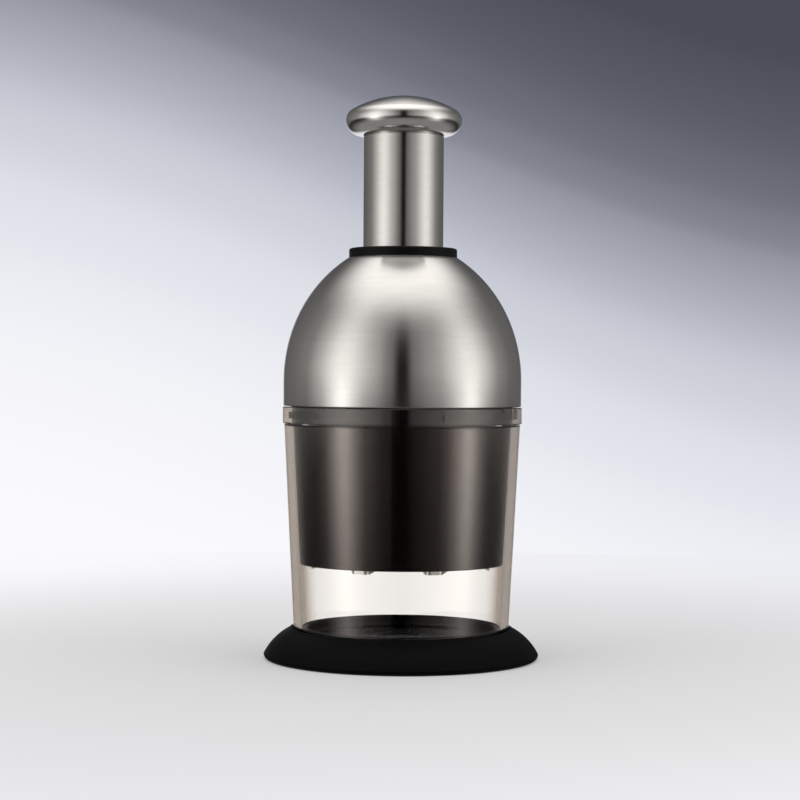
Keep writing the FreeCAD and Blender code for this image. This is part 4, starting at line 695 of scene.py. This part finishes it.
# The soft boxes as the upright guard mirrors them, from below the horizon, and as the dome, the tube
# and the knob do, where they are broader. Between LOW_END and HIGH_START one passes into the other.
LOW_END, HIGH_START = -0.115, -0.06
level = around(web, [
    (-180, 0.08), (-120, 0.06), (-92, 0.1), (-80, 0.45), (-70, 1.4), (-60, 2.3), (-50, 1.35),
    (-40, 0.5), (-28, 0.2), (-10, 0.03), (0, 0.0), (10, 0.03), (28, 0.12), (40, 0.22),
    (50, 0.6), (60, 1.4), (70, 2.15), (80, 1.1), (92, 0.25), (120, 0.07), (180, 0.08)])
raised = around(web, [
    (-180, 0.1), (-150, 0.16), (-120, 0.27), (-100, 0.45), (-80, 1.05), (-60, 1.62), (-40, 1.12),
    (-20, 0.5), (-9, 0.22), (-5, 0.04), (-3, 0.0), (3, 0.0), (5, 0.05), (9, 0.24), (20, 0.42),
    (40, 0.78), (60, 1.42), (70, 1.5), (80, 1.26), (100, 0.56), (120, 0.27), (150, 0.16), (180, 0.1)])
lift = web.span(elevation, 0.0, 1.0, LOW_END, HIGH_START)
level = web.math("MULTIPLY", level, web.span(elevation, 0.55, 1.35, -0.19, -0.12))
side = web("ShaderNodeMix", {0: lift, 2: level, 3: raised}, data_type="FLOAT").outputs[0]
# The box overhead reaches further down at the sides and still further behind. off_front is the distance
# from the front, in turns.
off_front = web.math("ABSOLUTE", web.math("SUBTRACT", azimuth, 0.5))
back = web.math("ADD", web.span(off_front, 0.0, 0.07, 0.08, 0.36),
                web.span(off_front, 0.0, 0.1, 0.42, 0.5))
above = ramp(web, web.math("ADD", rise, back), [
    (0.0, 0.0), (0.38, 0.0), (0.47, 0.05), (0.56, 0.19), (0.65, 0.44), (0.73, 0.64), (0.82, 0.72),
    (1.0, 0.76)])
low = ramp(web, rise, [(0.0, 1.0), (0.3, 0.85), (0.6, 0.15), (0.75, 0.0), (1.0, 0.0)])
under = web.span(elevation, 1.0, 0.0, -0.6, -0.25)
total = web.math("ADD", web.math("MULTIPLY", side, low), above)
total = web("ShaderNodeMix", {0: under, 2: total, 3: 0.3 / LIGHT}, data_type="FLOAT").outputs[0]
lamp = web("ShaderNodeBackground", {"Color": (1.0, 0.985, 0.965, 1.0),
                                    "Strength": web.math("MULTIPLY", total, LIGHT)})

# The backdrop's tone is painted shade that falls off with height, sooner on the right. Only the camera
# sees it, and rays that come through the clear wall: those that nothing has mirrored or scattered, and
# well behind the object also mirrored ones that have passed at most two clear faces.
slope = web.span(web.math("MULTIPLY", parts[0], parts[1]), -0.07, 0.07, -0.25, 0.25, "SMOOTHSTEP")
wall = ramp(web, web.span(web.math("ADD", elevation, slope), 0.0, 1.0, -0.12, 0.22), [
    (0.0, (0.955, 0.955, 0.98)), (0.11, (0.925, 0.925, 0.955)), (0.235, (0.87, 0.88, 0.92)),
    (0.325, (0.80, 0.81, 0.865)), (0.44, (0.69, 0.70, 0.76)), (0.555, (0.515, 0.53, 0.60)),
    (0.68, (0.285, 0.295, 0.35)), (0.74, (0.18, 0.187, 0.23)), (0.81, (0.125, 0.127, 0.162)),
    (0.93, (0.078, 0.08, 0.105)), (1.0, (0.07, 0.072, 0.095))], "CARDINAL")
backdrop = web("ShaderNodeBackground", {"Color": wall, "Strength": 1.0})
path = web("ShaderNodeLightPath").outputs
clear = web.math("LESS_THAN", web.math("ADD", path["Glossy Depth"], path["Diffuse Depth"]), 0.5)
shallow = web.math("LESS_THAN", web.math("ADD", path["Transmission Depth"], path["Diffuse Depth"]), 2.5)
clear = web.math("MAXIMUM", clear,
                 web.math("MULTIPLY", shallow, web.span(off_front, 0.0, 0.9, 0.33, 0.44)))
seen = web.math("MAXIMUM", path["Is Camera Ray"],
                web.math("MULTIPLY", path["Is Transmission Ray"], clear))
# Low and right behind the object every ray meets the backdrop, so that the metal's edges mirror it.
behind = web.math("MULTIPLY", web.span(off_front, 0.0, 1.0, 0.45, 0.48), low)
mixed = web("ShaderNodeMixShader", {0: web.math("MAXIMUM", seen, behind), 1: lamp.outputs[0],
                                    2: backdrop.outputs[0]})
web("ShaderNodeOutputWorld", {"Surface": mixed.outputs[0]})


# ---- Camera
# A long lens a little above the container's rim, nearly level, and rolled by a third of a degree as the
# photograph is.

lens = bpy.data.cameras.new("camera")
lens.sensor_width = 36.0
lens.lens = 97.2
lens.clip_start = 0.01
camera = bpy.data.objects.new("camera", lens)
bpy.context.scene.collection.objects.link(camera)
camera.location = (-0.00100, -0.869, 0.117)
camera.rotation_euler = (math.radians(89.125), math.radians(-0.33), 0.0)
bpy.context.scene.camera = camera
bpy.context.scene.view_settings.view_transform = "Standard"
